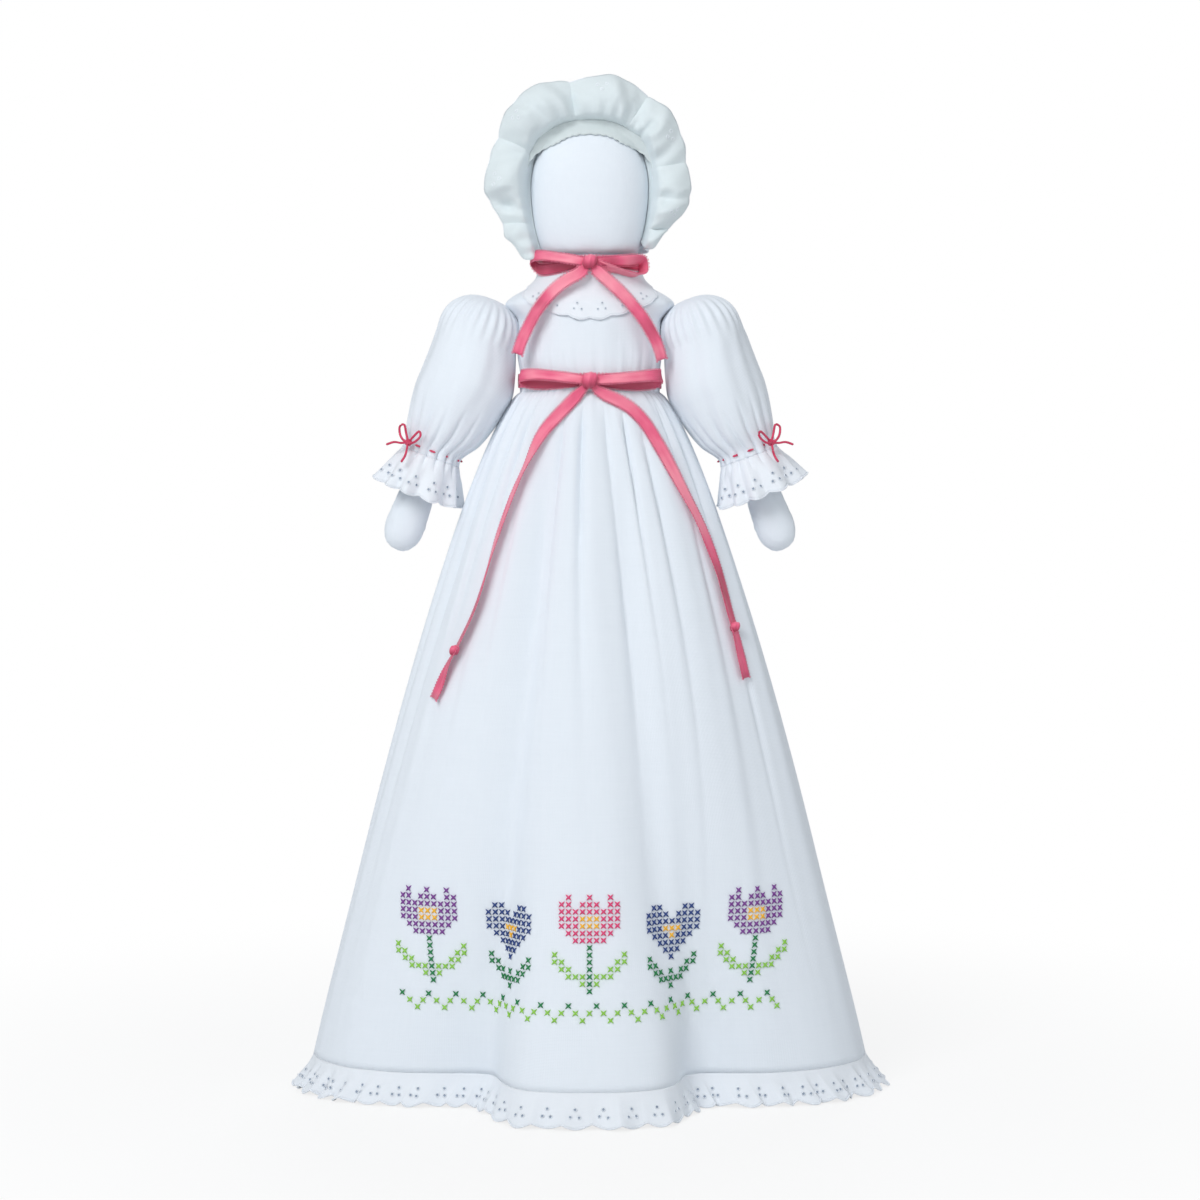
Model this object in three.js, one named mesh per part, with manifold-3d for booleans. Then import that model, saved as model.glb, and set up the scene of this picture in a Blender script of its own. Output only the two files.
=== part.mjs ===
// Pillowcase doll: a stuffed cloth doll in a gown made from an embroidered pillowcase.
// Millimetres, +Z up. The doll stands on its hem, faces -Y, and +X is on the viewer's right.
import * as THREE from 'three';
import { mergeVertices } from 'three/addons/utils/BufferGeometryUtils.js';
import loadManifold from 'manifold-3d';

// Cloth, ribbon, thread and the gap between pieces that are sewn to each other
const clothThickness = 1.0;
const sewnGap = 0.3;
const ribbonWidth = 4.76;
const ribbonThickness = 0.6;
const threadDiameter = 1.2;

// Hem ruffle, which stands on the floor
const hemRuffleHeight = 14;
const hemRuffleFlare = 10;
const hemGatherCount = 24;
const hemGatherDepth = 1.5;

// Skirt: an oval bell with a raised middle panel, and a deep fold at each side of the panel
const skirtLength = 303;
const hemHalfWidth = 127;
const hemHalfDepth = 66;
const skirtFlare = 0.72;
const panelFoldHeight = 16;
const panelFoldSpread = 38;
const sideFoldDepth = 21;
const sideFoldAngle = 44;
const sideFoldSpread = 17;
const foldFade = 4;

// Drapes all round the skirt, and two long folds at the front, at angles from its middle in degrees
const drapeDepth = 3.2;
const drapeWaves = [{ count: 9, share: 0.6, start: 2.1 }, { count: 5, share: 0.4, start: 0.7 }];
const longFoldDepth = 3.4;
const longFoldAngles = [-23.33, 16.67];
const longFoldSpread = 4.87;
const drapeFullAt = 0.3;
const drapeFadeAt = 0.7;

// Torso: heights are taken from the waist seam
const torsoDrop = 67;
const torsoBaseHalfWidth = 25;
const torsoBaseHalfDepth = 19;
const bellyDrop = 35;
const bellyHalfWidth = 30;
const bellyHalfDepth = 23;
const waistRise = 5;
const waistHalfWidth = 30;
const waistHalfDepth = 20;
const armholeRise = 25;
const armholeHalfHeight = 7;
const armholeHalfWidth = 31.5;
const armholeHalfDepth = 19.5;
const shoulderRise = 39;
const shoulderHalfWidth = 36;
const shoulderHalfDepth = 18.5;
const torsoTopRise = 47.4;
const torsoTopHalfWidth = 22;
const torsoTopHalfDepth = 16;
const torsoBaseThickness = 1.5;

// Neck and head
const neckHalfWidth = 20;
const neckHalfDepth = 15;
const neckRollRadius = 18;
const neckLength = 16;
const neckPlay = 2.2;
const headHeight = 62;
const headCentreRise = 28;
const headHalfWidth = 27.5;
const headHalfDepth = 24;
const chinHalfWidth = 23;

// Bodice and lace collar
const bodiceEase = 0.4;
const bodiceNeckHeight = 13;
const collarFrontDrop = 22;
const collarSideDrop = 8;
const collarEase = 1.3;
const collarScallopCount = 18;
const collarScallopDepth = 1.5;

// Arm, measured along its axis from the shoulder pivot
const armTilt = 20.5;
const armLength = 104;
const armRadius = 9.5;
const wristAt = 72;
const wristRadius = 8.8;
const handRadius = 10.3;
const armLiftRange = 50;
const tabWidth = 6;
const tabThickness = 2;
const tabRollRadius = 3;
const tabPlay = 0.8;
const slotReach = 3 * clothThickness;
const tabSlotMargin = 8;

// Sleeve, cuff ruffle and the thread that draws the cuff in
const sleeveCapRadius = 19;
const sleeveLength = 58;
// Shares of the sleeve's length, and of its cap's radius for how wide it is and how far it leans out
const sleeveShape = [
  { at: 0, radius: 1, lean: 0 },
  { at: 0.17, radius: 1.03, lean: 0.17 },
  { at: 0.35, radius: 1.08, lean: 0.23 },
  { at: 0.48, radius: 1.08, lean: 0.14 },
  { at: 0.62, radius: 1.03, lean: 0.115 },
  { at: 0.79, radius: 0.905, lean: 0.075 },
];
const sleeveStations = sleeveShape.map(({ at, radius, lean }) => ({
  at: at * sleeveLength,
  radius: radius * sleeveCapRadius,
  lean: lean * sleeveCapRadius,
}));
const cuffRadius = 14;
const cuffThreadInset = 3;
const cuffRuffleLength = 17;
const cuffRuffleFlare = 5.5;
const cuffGatherCount = 9;
const cuffGatherDepth = 1.0;
const cuffBowAngle = 40;
const cuffBowLoop = 6;
const cuffBowTail = 9;
const cuffKnotRadius = 1.5 * threadDiameter;
const cuffLoopShape = [[0.6, 0.6], [1, 0.2], [0.5, -0.2]];
const cuffTailShape = [[0.3, -0.5], [0.5, -1]];

// Bonnet: a puffed crown, a band round the face and a gathered ruffle
const bonnetFit = 0.5;
const crownBackRoom = 13;
const crownTopRoom = 3;
const crownCentreY = 6;
const bonnetFrontY = -6;
const bonnetBandWidth = 8;
const bonnetBandDrop = 4.6;
const bonnetRuffleWidth = 19;
const bonnetRuffleEndWidth = 12;
const bonnetRuffleTaper = 0.2;
const bonnetRuffleForward = 5;
const bonnetGatherCount = 14;
const bonnetGatherDepth = 1.6;

// Ribbon bows
const waistLoopReach = 27;
const neckLoopReach = 24;
const loopOpening = 4;
const waistKnotHalfSize = 4.2;
const neckKnotHalfSize = 3.6;
const tailStartLift = 2.6;
const tailLift = 1.4;
const tailFall = 16;

// Facets round each kind of piece
const skirtSides = 54;
const gatherSides = 4;
const torsoSides = 16;
const headSides = 20;
const bodiceSides = 24;
const scallopSides = 3;
const armSides = 12;
const sleeveSides = 20;
const capAngles = [80, 60, 40, 20];
const tipAngles = [30, 55, 78];
const crownAngles = [0, 18, 36, 52, 66, 78, 86];
const headTopAngle = 82;
const headSteps = 9;
const ballSides = 24;
const knotSides = 12;
const curveSteps = 12;
const bisections = 40;
const neckRollShares = [0.25, 0.5, 0.72, 0.9, 1];
const collarSteps = 6;
const armSteps = 5;
const threadSteps = 6;
const tabChecks = 6;
const crownSides = 28;
const threadSides = 8;
const ribbonSides = 32;

// Heights that follow from the sizes above
const skirtBottomZ = hemRuffleHeight + sewnGap;
const waistSeamZ = skirtBottomZ + skirtLength;
const bodiceBottomZ = waistSeamZ + sewnGap;
const torsoBaseZ = waistSeamZ - torsoDrop;
const torsoTopZ = waistSeamZ + torsoTopRise;
const waistRibbonZ = waistSeamZ + waistRise;
const bodiceTopZ = torsoTopZ + bodiceNeckHeight;
const neckRibbonZ = bodiceTopZ - ribbonWidth / 2 - sewnGap;
const neckBottomZ = torsoTopZ + sewnGap;
const neckPivotZ = neckBottomZ + neckRollRadius;
const neckTopZ = neckBottomZ + neckLength;
const headBottomZ = neckTopZ + sewnGap;
const headCentreZ = headBottomZ + headCentreRise;
const headTopZ = headBottomZ + headHeight;
const shoulderPivotZ = waistSeamZ + armholeRise;

const radians = THREE.MathUtils.degToRad;
const smooth = (value) => THREE.MathUtils.smoothstep(value, 0, 1);

const library = await loadManifold();
library.setup();

// Solids from rings of points
function orientedGeometry(points, triangles) {
  const geometry = new THREE.BufferGeometry();
  geometry.setAttribute('position', new THREE.Float32BufferAttribute(points.flatMap((p) => p.toArray()), 3));
  let volume = 0;
  for (const [a, b, c] of triangles) {
    volume += points[a].dot(new THREE.Vector3().crossVectors(points[b], points[c]));
  }
  const facingOut = volume > 0 ? triangles : triangles.map(([a, b, c]) => [a, c, b]);
  geometry.setIndex(facingOut.flat());
  geometry.computeVertexNormals();
  return geometry;
}

function ringTriangles(first, second, count) {
  const triangles = [];
  for (let i = 0; i < count; i += 1) {
    const next = (i + 1) % count;
    triangles.push([first + i, first + next, second + i]);
    triangles.push([first + next, second + next, second + i]);
  }
  return triangles;
}

// A solid through rings of equal length, closed at both ends
function loft(rings) {
  const count = rings[0].length;
  const points = rings.flat();
  const triangles = [];
  for (let k = 0; k + 1 < rings.length; k += 1) {
    triangles.push(...ringTriangles(k * count, (k + 1) * count, count));
  }
  const ends = [[rings[0], 0, true], [rings.at(-1), (rings.length - 1) * count, false]];
  for (const [ring, start, flip] of ends) {
    const middle = ring.reduce((sum, p) => sum.add(p), new THREE.Vector3()).divideScalar(count);
    points.push(middle);
    for (let i = 0; i < count; i += 1) {
      const edge = [start + i, start + ((i + 1) % count)];
      triangles.push(flip ? [points.length - 1, edge[1], edge[0]] : [points.length - 1, ...edge]);
    }
  }
  return orientedGeometry(points, triangles);
}

// A hoop through rings of equal length, the last joined to the first
function hoop(rings) {
  const count = rings[0].length;
  const triangles = [];
  for (let k = 0; k < rings.length; k += 1) {
    triangles.push(...ringTriangles(k * count, ((k + 1) % rings.length) * count, count));
  }
  return orientedGeometry(rings.flat(), triangles);
}

// A sheet with thickness between two grids: each pair of rows makes one ring of the loft
function thickSheet(frontRows, backRows) {
  return loft(frontRows[0].map((_, column) => [
    ...frontRows.map((row) => row[column]),
    ...backRows.map((row) => row[column]).reverse(),
  ]));
}

function ovalRing(halfWidth, halfDepth, z, count, centreY = 0) {
  return Array.from({ length: count }, (_, i) => {
    const angle = (2 * Math.PI * i) / count;
    return new THREE.Vector3(halfWidth * Math.cos(angle), centreY + halfDepth * Math.sin(angle), z);
  });
}

// Booleans
function toSolid(geometry) {
  const bare = new THREE.BufferGeometry();
  bare.setAttribute('position', geometry.getAttribute('position'));
  bare.setIndex(geometry.index);
  const merged = mergeVertices(bare, 1e-4);
  return new library.Manifold(new library.Mesh({
    numProp: 3,
    vertProperties: new Float32Array(merged.getAttribute('position').array),
    triVerts: new Uint32Array(merged.index.array),
  }));
}

function fromSolid(solid) {
  const mesh = solid.getMesh();
  const geometry = new THREE.BufferGeometry();
  geometry.setAttribute('position', new THREE.Float32BufferAttribute(mesh.vertProperties, 3));
  geometry.setIndex(Array.from(mesh.triVerts));
  geometry.computeVertexNormals();
  return geometry;
}

function cut(geometry, ...cutters) {
  return fromSolid(cutters.reduce((solid, cutter) => solid.subtract(toSolid(cutter)), toSolid(geometry)));
}

function join(...geometries) {
  return fromSolid(geometries.map(toSolid).reduce((sum, solid) => sum.add(solid)));
}

// Materials
const cloth = (colour) => new THREE.MeshStandardMaterial({ color: colour, roughness: 0.9, metalness: 0 });
const whiteCotton = cloth(0xe6eef7);
const whiteLace = cloth(0xeef3f8);
const muslin = cloth(0xe9e6dc);
const stuffing = cloth(0xf4f2ea);
const satinRibbon = new THREE.MeshStandardMaterial({ color: 0xe85c82, roughness: 0.35, metalness: 0 });
const redThread = new THREE.MeshStandardMaterial({ color: 0xd2305a, roughness: 0.6, metalness: 0 });

const doll = new THREE.Group();

function addPiece(name, geometry, material, parent = doll) {
  const mesh = new THREE.Mesh(geometry, material);
  mesh.name = name;
  parent.add(mesh);
}

// Outlines of the body and the gown
const torsoStations = [
  [torsoBaseZ, torsoBaseHalfWidth, torsoBaseHalfDepth],
  [waistSeamZ - bellyDrop, bellyHalfWidth, bellyHalfDepth],
  [waistRibbonZ, waistHalfWidth, waistHalfDepth],
  [shoulderPivotZ - armholeHalfHeight, armholeHalfWidth, armholeHalfDepth],
  [shoulderPivotZ + armholeHalfHeight, armholeHalfWidth, armholeHalfDepth],
  [waistSeamZ + shoulderRise, shoulderHalfWidth, shoulderHalfDepth],
  [torsoTopZ, torsoTopHalfWidth, torsoTopHalfDepth],
];
const neckOpening = [
  bodiceTopZ,
  neckHalfWidth + neckPlay - bodiceEase,
  neckHalfDepth + neckPlay - bodiceEase,
];
const spanShares = [0, 1 / 3, 2 / 3];

// A smooth outline through the stations, kept as straight steps that every layer shares
function outlineThrough(stations) {
  const spans = stations.slice(1).map((upper, k) => [stations[k], upper]);
  const steps = spans.flatMap(([lower, upper]) => spanShares.map((share) => [
    THREE.MathUtils.lerp(lower[0], upper[0], share),
    ...[1, 2].map((size) => THREE.MathUtils.lerp(lower[size], upper[size], smooth(share))),
  ]));
  return [...steps, stations.at(-1)];
}

function outlineAt(outline, z) {
  const above = THREE.MathUtils.clamp(outline.findIndex((step) => step[0] >= z), 1, outline.length - 1);
  const [lower, upper] = [outline[above - 1], outline[above]];
  const share = (z - lower[0]) / (upper[0] - lower[0]);
  return [1, 2].map((size) => THREE.MathUtils.lerp(lower[size], upper[size], share));
}

const bodyOutline = outlineThrough([...torsoStations, neckOpening]);
const bodyAt = (z) => outlineAt(bodyOutline, z);

function bodyLevels(bottom, top) {
  const between = bodyOutline.map((step) => step[0]).filter((z) => z > bottom + sewnGap && z < top - sewnGap);
  return [bottom, ...between, top];
}

const bodiceOffset = bodiceEase + clothThickness;

function heights(bottom, top, steps) {
  return Array.from({ length: steps + 1 }, (_, k) => THREE.MathUtils.lerp(bottom, top, k / steps));
}

function bodyRing(z, offset, count) {
  const [halfWidth, halfDepth] = bodyAt(z);
  return ovalRing(halfWidth + offset, halfDepth + offset, z, count);
}

// How far the skirt's folds push its outline out at one angle, at the hem
function hemFold(angle) {
  const quarter = THREE.MathUtils.radToDeg(Math.atan2(Math.abs(Math.sin(angle)), Math.abs(Math.cos(angle))));
  const panel = panelFoldHeight * Math.exp(-(((90 - quarter) / panelFoldSpread) ** 4));
  const side = sideFoldDepth * Math.exp(-(((quarter - sideFoldAngle) / sideFoldSpread) ** 2));
  return panel - side;
}

// How far the drapes and long folds draw the skirt in, at a share of its length below the waist
function skirtDrape(turn, down) {
  const wave = drapeWaves.reduce((sum, { count, share, start }) => sum + share * Math.cos(count * turn + start), 0);
  const sharpness = 2 / radians(longFoldSpread) ** 2;
  const folds = longFoldAngles.reduce((sum, angle) => (
    sum + Math.exp((Math.cos(turn + Math.PI / 2 - radians(angle)) - 1) * sharpness)
  ), 0);
  const strength = smooth(down / drapeFullAt) * (1 - smooth((down - drapeFadeAt) / (1 - drapeFadeAt)));
  return -strength * (drapeDepth * (1 - wave) / 2 + longFoldDepth * folds);
}

function skirtPoint(turn, z, offset) {
  const down = Math.max((waistSeamZ - z) / skirtLength, 0);
  const [waistWidth, waistDepth] = bodyAt(bodiceBottomZ).map((size) => size + bodiceOffset);
  const spread = down ** skirtFlare;
  const x = THREE.MathUtils.lerp(waistWidth, hemHalfWidth, spread) * Math.cos(turn);
  const y = THREE.MathUtils.lerp(waistDepth, hemHalfDepth, spread) * Math.sin(turn);
  const angle = Math.atan2(y, x);
  const reach = Math.hypot(x, y) + hemFold(angle) * down ** foldFade + skirtDrape(turn, down) + offset;
  return new THREE.Vector3(reach * Math.cos(angle), reach * Math.sin(angle), z);
}

function skirtRing(z, offset, count) {
  return Array.from({ length: count }, (_, i) => skirtPoint((2 * Math.PI * i) / count, z, offset));
}

// Skirt and hem ruffle
function makeSkirt() {
  const levels = heights(skirtBottomZ, waistSeamZ, 8);
  const outer = levels.map((z) => skirtRing(z, 0, skirtSides));
  const inner = levels.map((z) => skirtRing(z, -clothThickness, skirtSides)).reverse();
  addPiece('skirt', hoop([...outer, ...inner]), whiteCotton);
}

function hemRuffleRing(z, offset) {
  const down = 1 - z / hemRuffleHeight;
  const count = gatherSides * hemGatherCount;
  return Array.from({ length: count }, (_, i) => {
    const turn = (2 * Math.PI * i) / count;
    const gather = hemGatherDepth * Math.cos(hemGatherCount * turn);
    const edge = skirtPoint(turn, skirtBottomZ, offset + down * (hemRuffleFlare - hemGatherDepth + gather));
    return edge.setZ(z);
  });
}

function makeHemRuffle() {
  const levels = heights(0, hemRuffleHeight, 2);
  const outer = levels.map((z) => hemRuffleRing(z, 0));
  const inner = levels.map((z) => hemRuffleRing(z, -clothThickness)).reverse();
  addPiece('hem_ruffle', hoop([...outer, ...inner]), whiteLace);
}

// Shoulder pivots: the sleeve cap is a ball that touches the bodice at the armhole
const shoulderPivotX = bodyAt(shoulderPivotZ)[0] + bodiceOffset + sewnGap + sleeveCapRadius;
const sides = [['left', -1], ['right', 1]];

function ball(radius, sidesRound) {
  return new THREE.SphereGeometry(radius, sidesRound, sidesRound / 2);
}

const capRooms = sides.map(([, side]) => (
  ball(sleeveCapRadius + sewnGap, ballSides).translate(side * shoulderPivotX, 0, shoulderPivotZ)
));

// Torso: cover, stuffing and the oval base that closes it
function makeTorso() {
  const coverInset = -clothThickness;
  const stuffingInset = coverInset - sewnGap;
  const stuffingBottom = torsoBaseZ + torsoBaseThickness + sewnGap;
  const outer = bodyLevels(torsoBaseZ, torsoTopZ).map((z) => bodyRing(z, 0, torsoSides)).reverse();
  const innerLevels = bodyLevels(torsoBaseZ, torsoTopZ + coverInset);
  const inner = innerLevels.map((z) => bodyRing(z, coverInset, torsoSides));
  const fillingLevels = bodyLevels(stuffingBottom, torsoTopZ + stuffingInset);
  const filling = fillingLevels.map((z) => bodyRing(z, stuffingInset, torsoSides));
  const base = [torsoBaseZ, torsoBaseZ + torsoBaseThickness].map((z) => (
    ovalRing(torsoBaseHalfWidth + stuffingInset, torsoBaseHalfDepth + stuffingInset, z, torsoSides)
  ));
  addPiece('torso_cover', cut(loft([...outer, ...inner]), ...capRooms), muslin);
  addPiece('torso_stuffing', cut(loft(filling), ...capRooms), stuffing);
  addPiece('torso_base', loft(base), muslin);
}

// Neck: its rounded underside rolls on the top of the torso
function makeNeck() {
  const roll = neckRollShares.map((share) => {
    const depth = neckHalfDepth * share;
    const z = neckPivotZ - Math.sqrt(neckRollRadius ** 2 - depth ** 2);
    return ovalRing(neckHalfWidth * share, depth, z, torsoSides);
  });
  const top = ovalRing(neckHalfWidth, neckHalfDepth, neckTopZ, torsoSides);
  addPiece('neck', loft([...roll, top]), muslin);
}

// Head: an egg that is cut flat where it meets the neck
function headRings(inset, openLevel) {
  const lowerHeight = headCentreRise / Math.sqrt(1 - (chinHalfWidth / headHalfWidth) ** 2);
  const upperHeight = headHeight - headCentreRise;
  const lowest = Math.asin(Math.max((openLevel - headCentreZ) / (lowerHeight + inset), -1));
  return heights(lowest, radians(headTopAngle), headSteps).map((angle) => {
    const height = (angle < 0 ? lowerHeight : upperHeight) + inset;
    const share = Math.cos(angle);
    const z = headCentreZ + height * Math.sin(angle);
    return ovalRing((headHalfWidth + inset) * share, (headHalfDepth + inset) * share, z, headSides);
  });
}

function makeHead() {
  const outer = headRings(0, headBottomZ).reverse();
  const inner = headRings(-clothThickness, headBottomZ);
  addPiece('head_cover', loft([...outer, ...inner]), whiteCotton);
  addPiece('head_stuffing', loft(headRings(-clothThickness - sewnGap, headBottomZ)), stuffing);
}

// Bodice: follows the torso, rises round the neck, and has a hole for each arm
function makeBodice() {
  const levels = bodyLevels(bodiceBottomZ, bodiceTopZ);
  const outer = levels.map((z) => bodyRing(z, bodiceOffset, bodiceSides));
  const inner = levels.map((z) => bodyRing(z, bodiceEase, bodiceSides)).reverse();
  const armholes = sides.map(([, side]) => (
    new THREE.CylinderGeometry(tabWidth / 2 + tabPlay, tabWidth / 2 + tabPlay, shoulderPivotX, sleeveSides)
      .rotateZ(Math.PI / 2)
      .translate(side * shoulderPivotX, 0, shoulderPivotZ)
  ));
  addPiece('bodice', cut(hoop([...outer, ...inner]), ...capRooms, ...armholes), whiteCotton);
}

// Lace collar: lies on the bodice, long in front and behind and short on the shoulders
function collarRing(down, offset) {
  const count = scallopSides * collarScallopCount;
  const topZ = neckRibbonZ - ribbonWidth / 2 - sewnGap;
  return Array.from({ length: count }, (_, i) => {
    const turn = (2 * Math.PI * i) / count;
    const drop = THREE.MathUtils.lerp(collarSideDrop, collarFrontDrop, Math.sin(turn) ** 2);
    const scallop = collarScallopDepth * Math.cos(collarScallopCount * turn);
    const z = topZ - down * (drop + scallop);
    const [halfWidth, halfDepth] = bodyAt(z);
    const reach = bodiceOffset + collarEase + offset;
    return new THREE.Vector3((halfWidth + reach) * Math.cos(turn), (halfDepth + reach) * Math.sin(turn), z);
  });
}

function makeCollar() {
  const shares = heights(0, 1, collarSteps);
  const outer = shares.map((down) => collarRing(down, clothThickness));
  const inner = shares.map((down) => collarRing(down, 0)).reverse();
  addPiece('collar_ruffle', cut(hoop([...outer, ...inner]), ...capRooms), whiteLace);
}

// Arms, sleeves and cuffs, built along -Z from the shoulder pivot
const roundRing = (radius, at, count) => ovalRing(radius, radius, -at, count);
const armTop = tabRollRadius + sewnGap;
const cuffThreadAt = sleeveLength - cuffThreadInset;
const cuffNarrowAt = cuffThreadAt - threadDiameter;

function armRings(inset) {
  const handStart = armLength - handRadius;
  const stations = [[armTop, armRadius], [wristAt, wristRadius], [handStart, handRadius]];
  const limb = heights(armTop, handStart, armSteps).map((at) => {
    const [first, second] = at < wristAt ? stations : stations.slice(1);
    const share = smooth((at - first[0]) / (second[0] - first[0]));
    return roundRing(THREE.MathUtils.lerp(first[1], second[1], share) + inset, at, armSides);
  });
  const tip = tipAngles.map((angle) => (
    roundRing((handRadius + inset) * Math.cos(radians(angle)),
      handStart + (handRadius + inset) * Math.sin(radians(angle)), armSides)
  ));
  return [...limb, ...tip];
}

// The sleeve is a ball at the shoulder, then leans towards the body, and is drawn in at the cuff
function sleeveRings(inset, side) {
  const capRadius = sleeveCapRadius + inset;
  const capRings = capAngles.map((angle) => (
    roundRing(capRadius * Math.cos(radians(angle)), -capRadius * Math.sin(radians(angle)), sleeveSides)
  ));
  const drawnIn = [cuffNarrowAt, sleeveLength].map((at) => ({ at, radius: cuffRadius, lean: 0 }));
  const lengthRings = [...sleeveStations, ...drawnIn].map(({ at, radius, lean }) => (
    roundRing(radius + inset, at, sleeveSides).map((point) => point.setX(point.x - side * lean))
  ));
  return [...capRings, ...lengthRings];
}

// The way of the shoulder tab through the sleeve cap as the arm lifts
function tabSlot(side) {
  const margin = radians(tabSlotMargin);
  const start = Math.PI - radians(armTilt) + margin;
  const end = Math.PI - radians(armTilt + armLiftRange) - margin;
  const inside = sleeveCapRadius - slotReach;
  const outside = sleeveCapRadius + slotReach;
  const sector = new THREE.Shape();
  sector.absarc(0, 0, outside, start, end, true);
  sector.absarc(0, 0, inside, end, start, false);
  const depth = tabWidth + 2 * tabPlay;
  const slot = new THREE.ExtrudeGeometry(sector, { depth, bevelEnabled: false, curveSegments: curveSteps });
  slot.translate(0, 0, -depth / 2).rotateX(Math.PI / 2);
  return side > 0 ? slot : slot.rotateZ(Math.PI);
}

function cuffRuffleRing(down, offset) {
  const count = gatherSides * cuffGatherCount;
  return Array.from({ length: count }, (_, i) => {
    const turn = (2 * Math.PI * i) / count;
    const gather = cuffGatherDepth * (Math.cos(cuffGatherCount * turn) - 1);
    const radius = cuffRadius + offset + down * (cuffRuffleFlare + gather);
    const z = -(sleeveLength + sewnGap + down * cuffRuffleLength);
    return new THREE.Vector3(radius * Math.cos(turn), radius * Math.sin(turn), z);
  });
}

function makeCuffThread() {
  const reach = cuffRadius + sewnGap + threadDiameter / 2;
  const sections = Array.from({ length: sleeveSides }, (_, i) => {
    const turn = (2 * Math.PI * i) / sleeveSides;
    return Array.from({ length: threadSides }, (_, k) => {
      const angle = (2 * Math.PI * k) / threadSides;
      const radius = reach + (threadDiameter / 2) * Math.cos(angle);
      const z = -cuffThreadAt + (threadDiameter / 2) * Math.sin(angle);
      return new THREE.Vector3(radius * Math.cos(turn), radius * Math.sin(turn), z);
    });
  });
  return hoop(sections);
}

function threadTube(points) {
  const section = new THREE.Shape().absarc(0, 0, threadDiameter / 2, 0, 2 * Math.PI, false);
  const route = new THREE.CatmullRomCurve3(points);
  return new THREE.ExtrudeGeometry(section, {
    steps: threadSteps, extrudePath: route, bevelEnabled: false, curveSegments: threadSides / 2,
  });
}

// A tied bow of thread in front of the cuff: a knot with two loops and two tails
function makeCuffBow(side) {
  const place = (across, out, up) => new THREE.Vector3(across, -out, up);
  const loops = [-1, 1].map((way) => threadTube([
    place(0, 0, 0),
    ...cuffLoopShape.map(([across, up]) => (
      place(way * cuffBowLoop * across, threadDiameter, cuffBowLoop * up))),
    place(0, threadDiameter / 2, 0),
  ]));
  const tails = [-1, 1].map((way) => threadTube([
    place(0, 0, 0),
    ...cuffTailShape.map(([across, up]) => (
      place(way * cuffBowTail * across, threadDiameter, cuffBowTail * up))),
  ]));
  const bow = join(ball(cuffKnotRadius, threadSides), ...loops, ...tails);
  const reach = cuffRadius + 2 * sewnGap + threadDiameter + cuffKnotRadius;
  return bow.translate(0, -reach, -cuffThreadAt).rotateZ(side * radians(cuffBowAngle));
}

function makeArm(name, side) {
  const arm = new THREE.Group();
  arm.position.set(side * shoulderPivotX, 0, shoulderPivotZ);
  arm.rotation.y = -side * radians(armTilt);
  doll.add(arm);
  const skin = [...armRings(0).reverse(), ...armRings(-clothThickness)];
  const sleeve = [...sleeveRings(0, side), ...sleeveRings(-clothThickness, side).reverse()];
  const shares = heights(0, 1, 2);
  const outer = shares.map((down) => cuffRuffleRing(down, 0));
  const inner = shares.map((down) => cuffRuffleRing(down, -clothThickness)).reverse();
  addPiece(`arm_cover_${name}`, loft(skin), whiteCotton, arm);
  addPiece(`arm_stuffing_${name}`, loft(armRings(-clothThickness - sewnGap)), stuffing, arm);
  addPiece(`sleeve_${name}`, cut(loft(sleeve), tabSlot(side)), whiteCotton, arm);
  addPiece(`cuff_ruffle_${name}`, hoop([...outer, ...inner]), whiteLace, arm);
  addPiece(`cuff_thread_${name}`, makeCuffThread(), redThread, arm);
  addPiece(`cuff_bow_${name}`, makeCuffBow(side), redThread, arm);
}

// Shoulder tab: the flat, unstuffed cloth that the arm hangs from, rolled at its outer end
function makeShoulderTab(name, side) {
  const near = heights(shoulderPivotZ - tabWidth / 2, shoulderPivotZ + tabWidth / 2, tabChecks);
  const innerX = Math.max(...near.map((z) => bodyAt(z)[0])) + sewnGap;
  const half = tabThickness / 2;
  const bend = Math.asin(half / tabRollRadius);
  const profile = new THREE.Shape();
  profile.moveTo(innerX - shoulderPivotX, -half);
  profile.absarc(0, 0, tabRollRadius, Math.PI + bend, Math.PI - bend, false);
  profile.lineTo(innerX - shoulderPivotX, half);
  const sewnWidth = { depth: tabWidth, bevelEnabled: false, curveSegments: curveSteps };
  const tab = new THREE.ExtrudeGeometry(profile, sewnWidth);
  tab.translate(0, 0, -tabWidth / 2).rotateX(Math.PI / 2);
  if (side < 0) tab.rotateZ(Math.PI);
  addPiece(`shoulder_tab_${name}`, tab.translate(side * shoulderPivotX, 0, shoulderPivotZ), muslin);
}

// Bonnet: the crown is straight below the middle of the head, so that it slips off upwards
const crownHalfDepth = headHalfDepth + crownBackRoom - crownCentreY;
const faceShare = Math.sqrt(1 - ((bonnetFrontY - crownCentreY) / crownHalfDepth) ** 2);
const crownHalfWidth = (headHalfWidth + bonnetFit) / faceShare;
const crownHeight = headTopZ + crownTopRoom - headCentreZ;
const bonnetBottomZ = headBottomZ;

function crownSolid(offset, bottomZ) {
  const angles = crownAngles.map(radians);
  const dome = angles.map((angle) => ovalRing(
    (crownHalfWidth + offset) * Math.cos(angle),
    (crownHalfDepth + offset) * Math.cos(angle),
    headCentreZ + (crownHeight + offset) * Math.sin(angle),
    crownSides,
    crownCentreY,
  ));
  const rim = ovalRing(crownHalfWidth + offset, crownHalfDepth + offset, bottomZ, crownSides, crownCentreY);
  return loft([rim, ...dome]);
}

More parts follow.
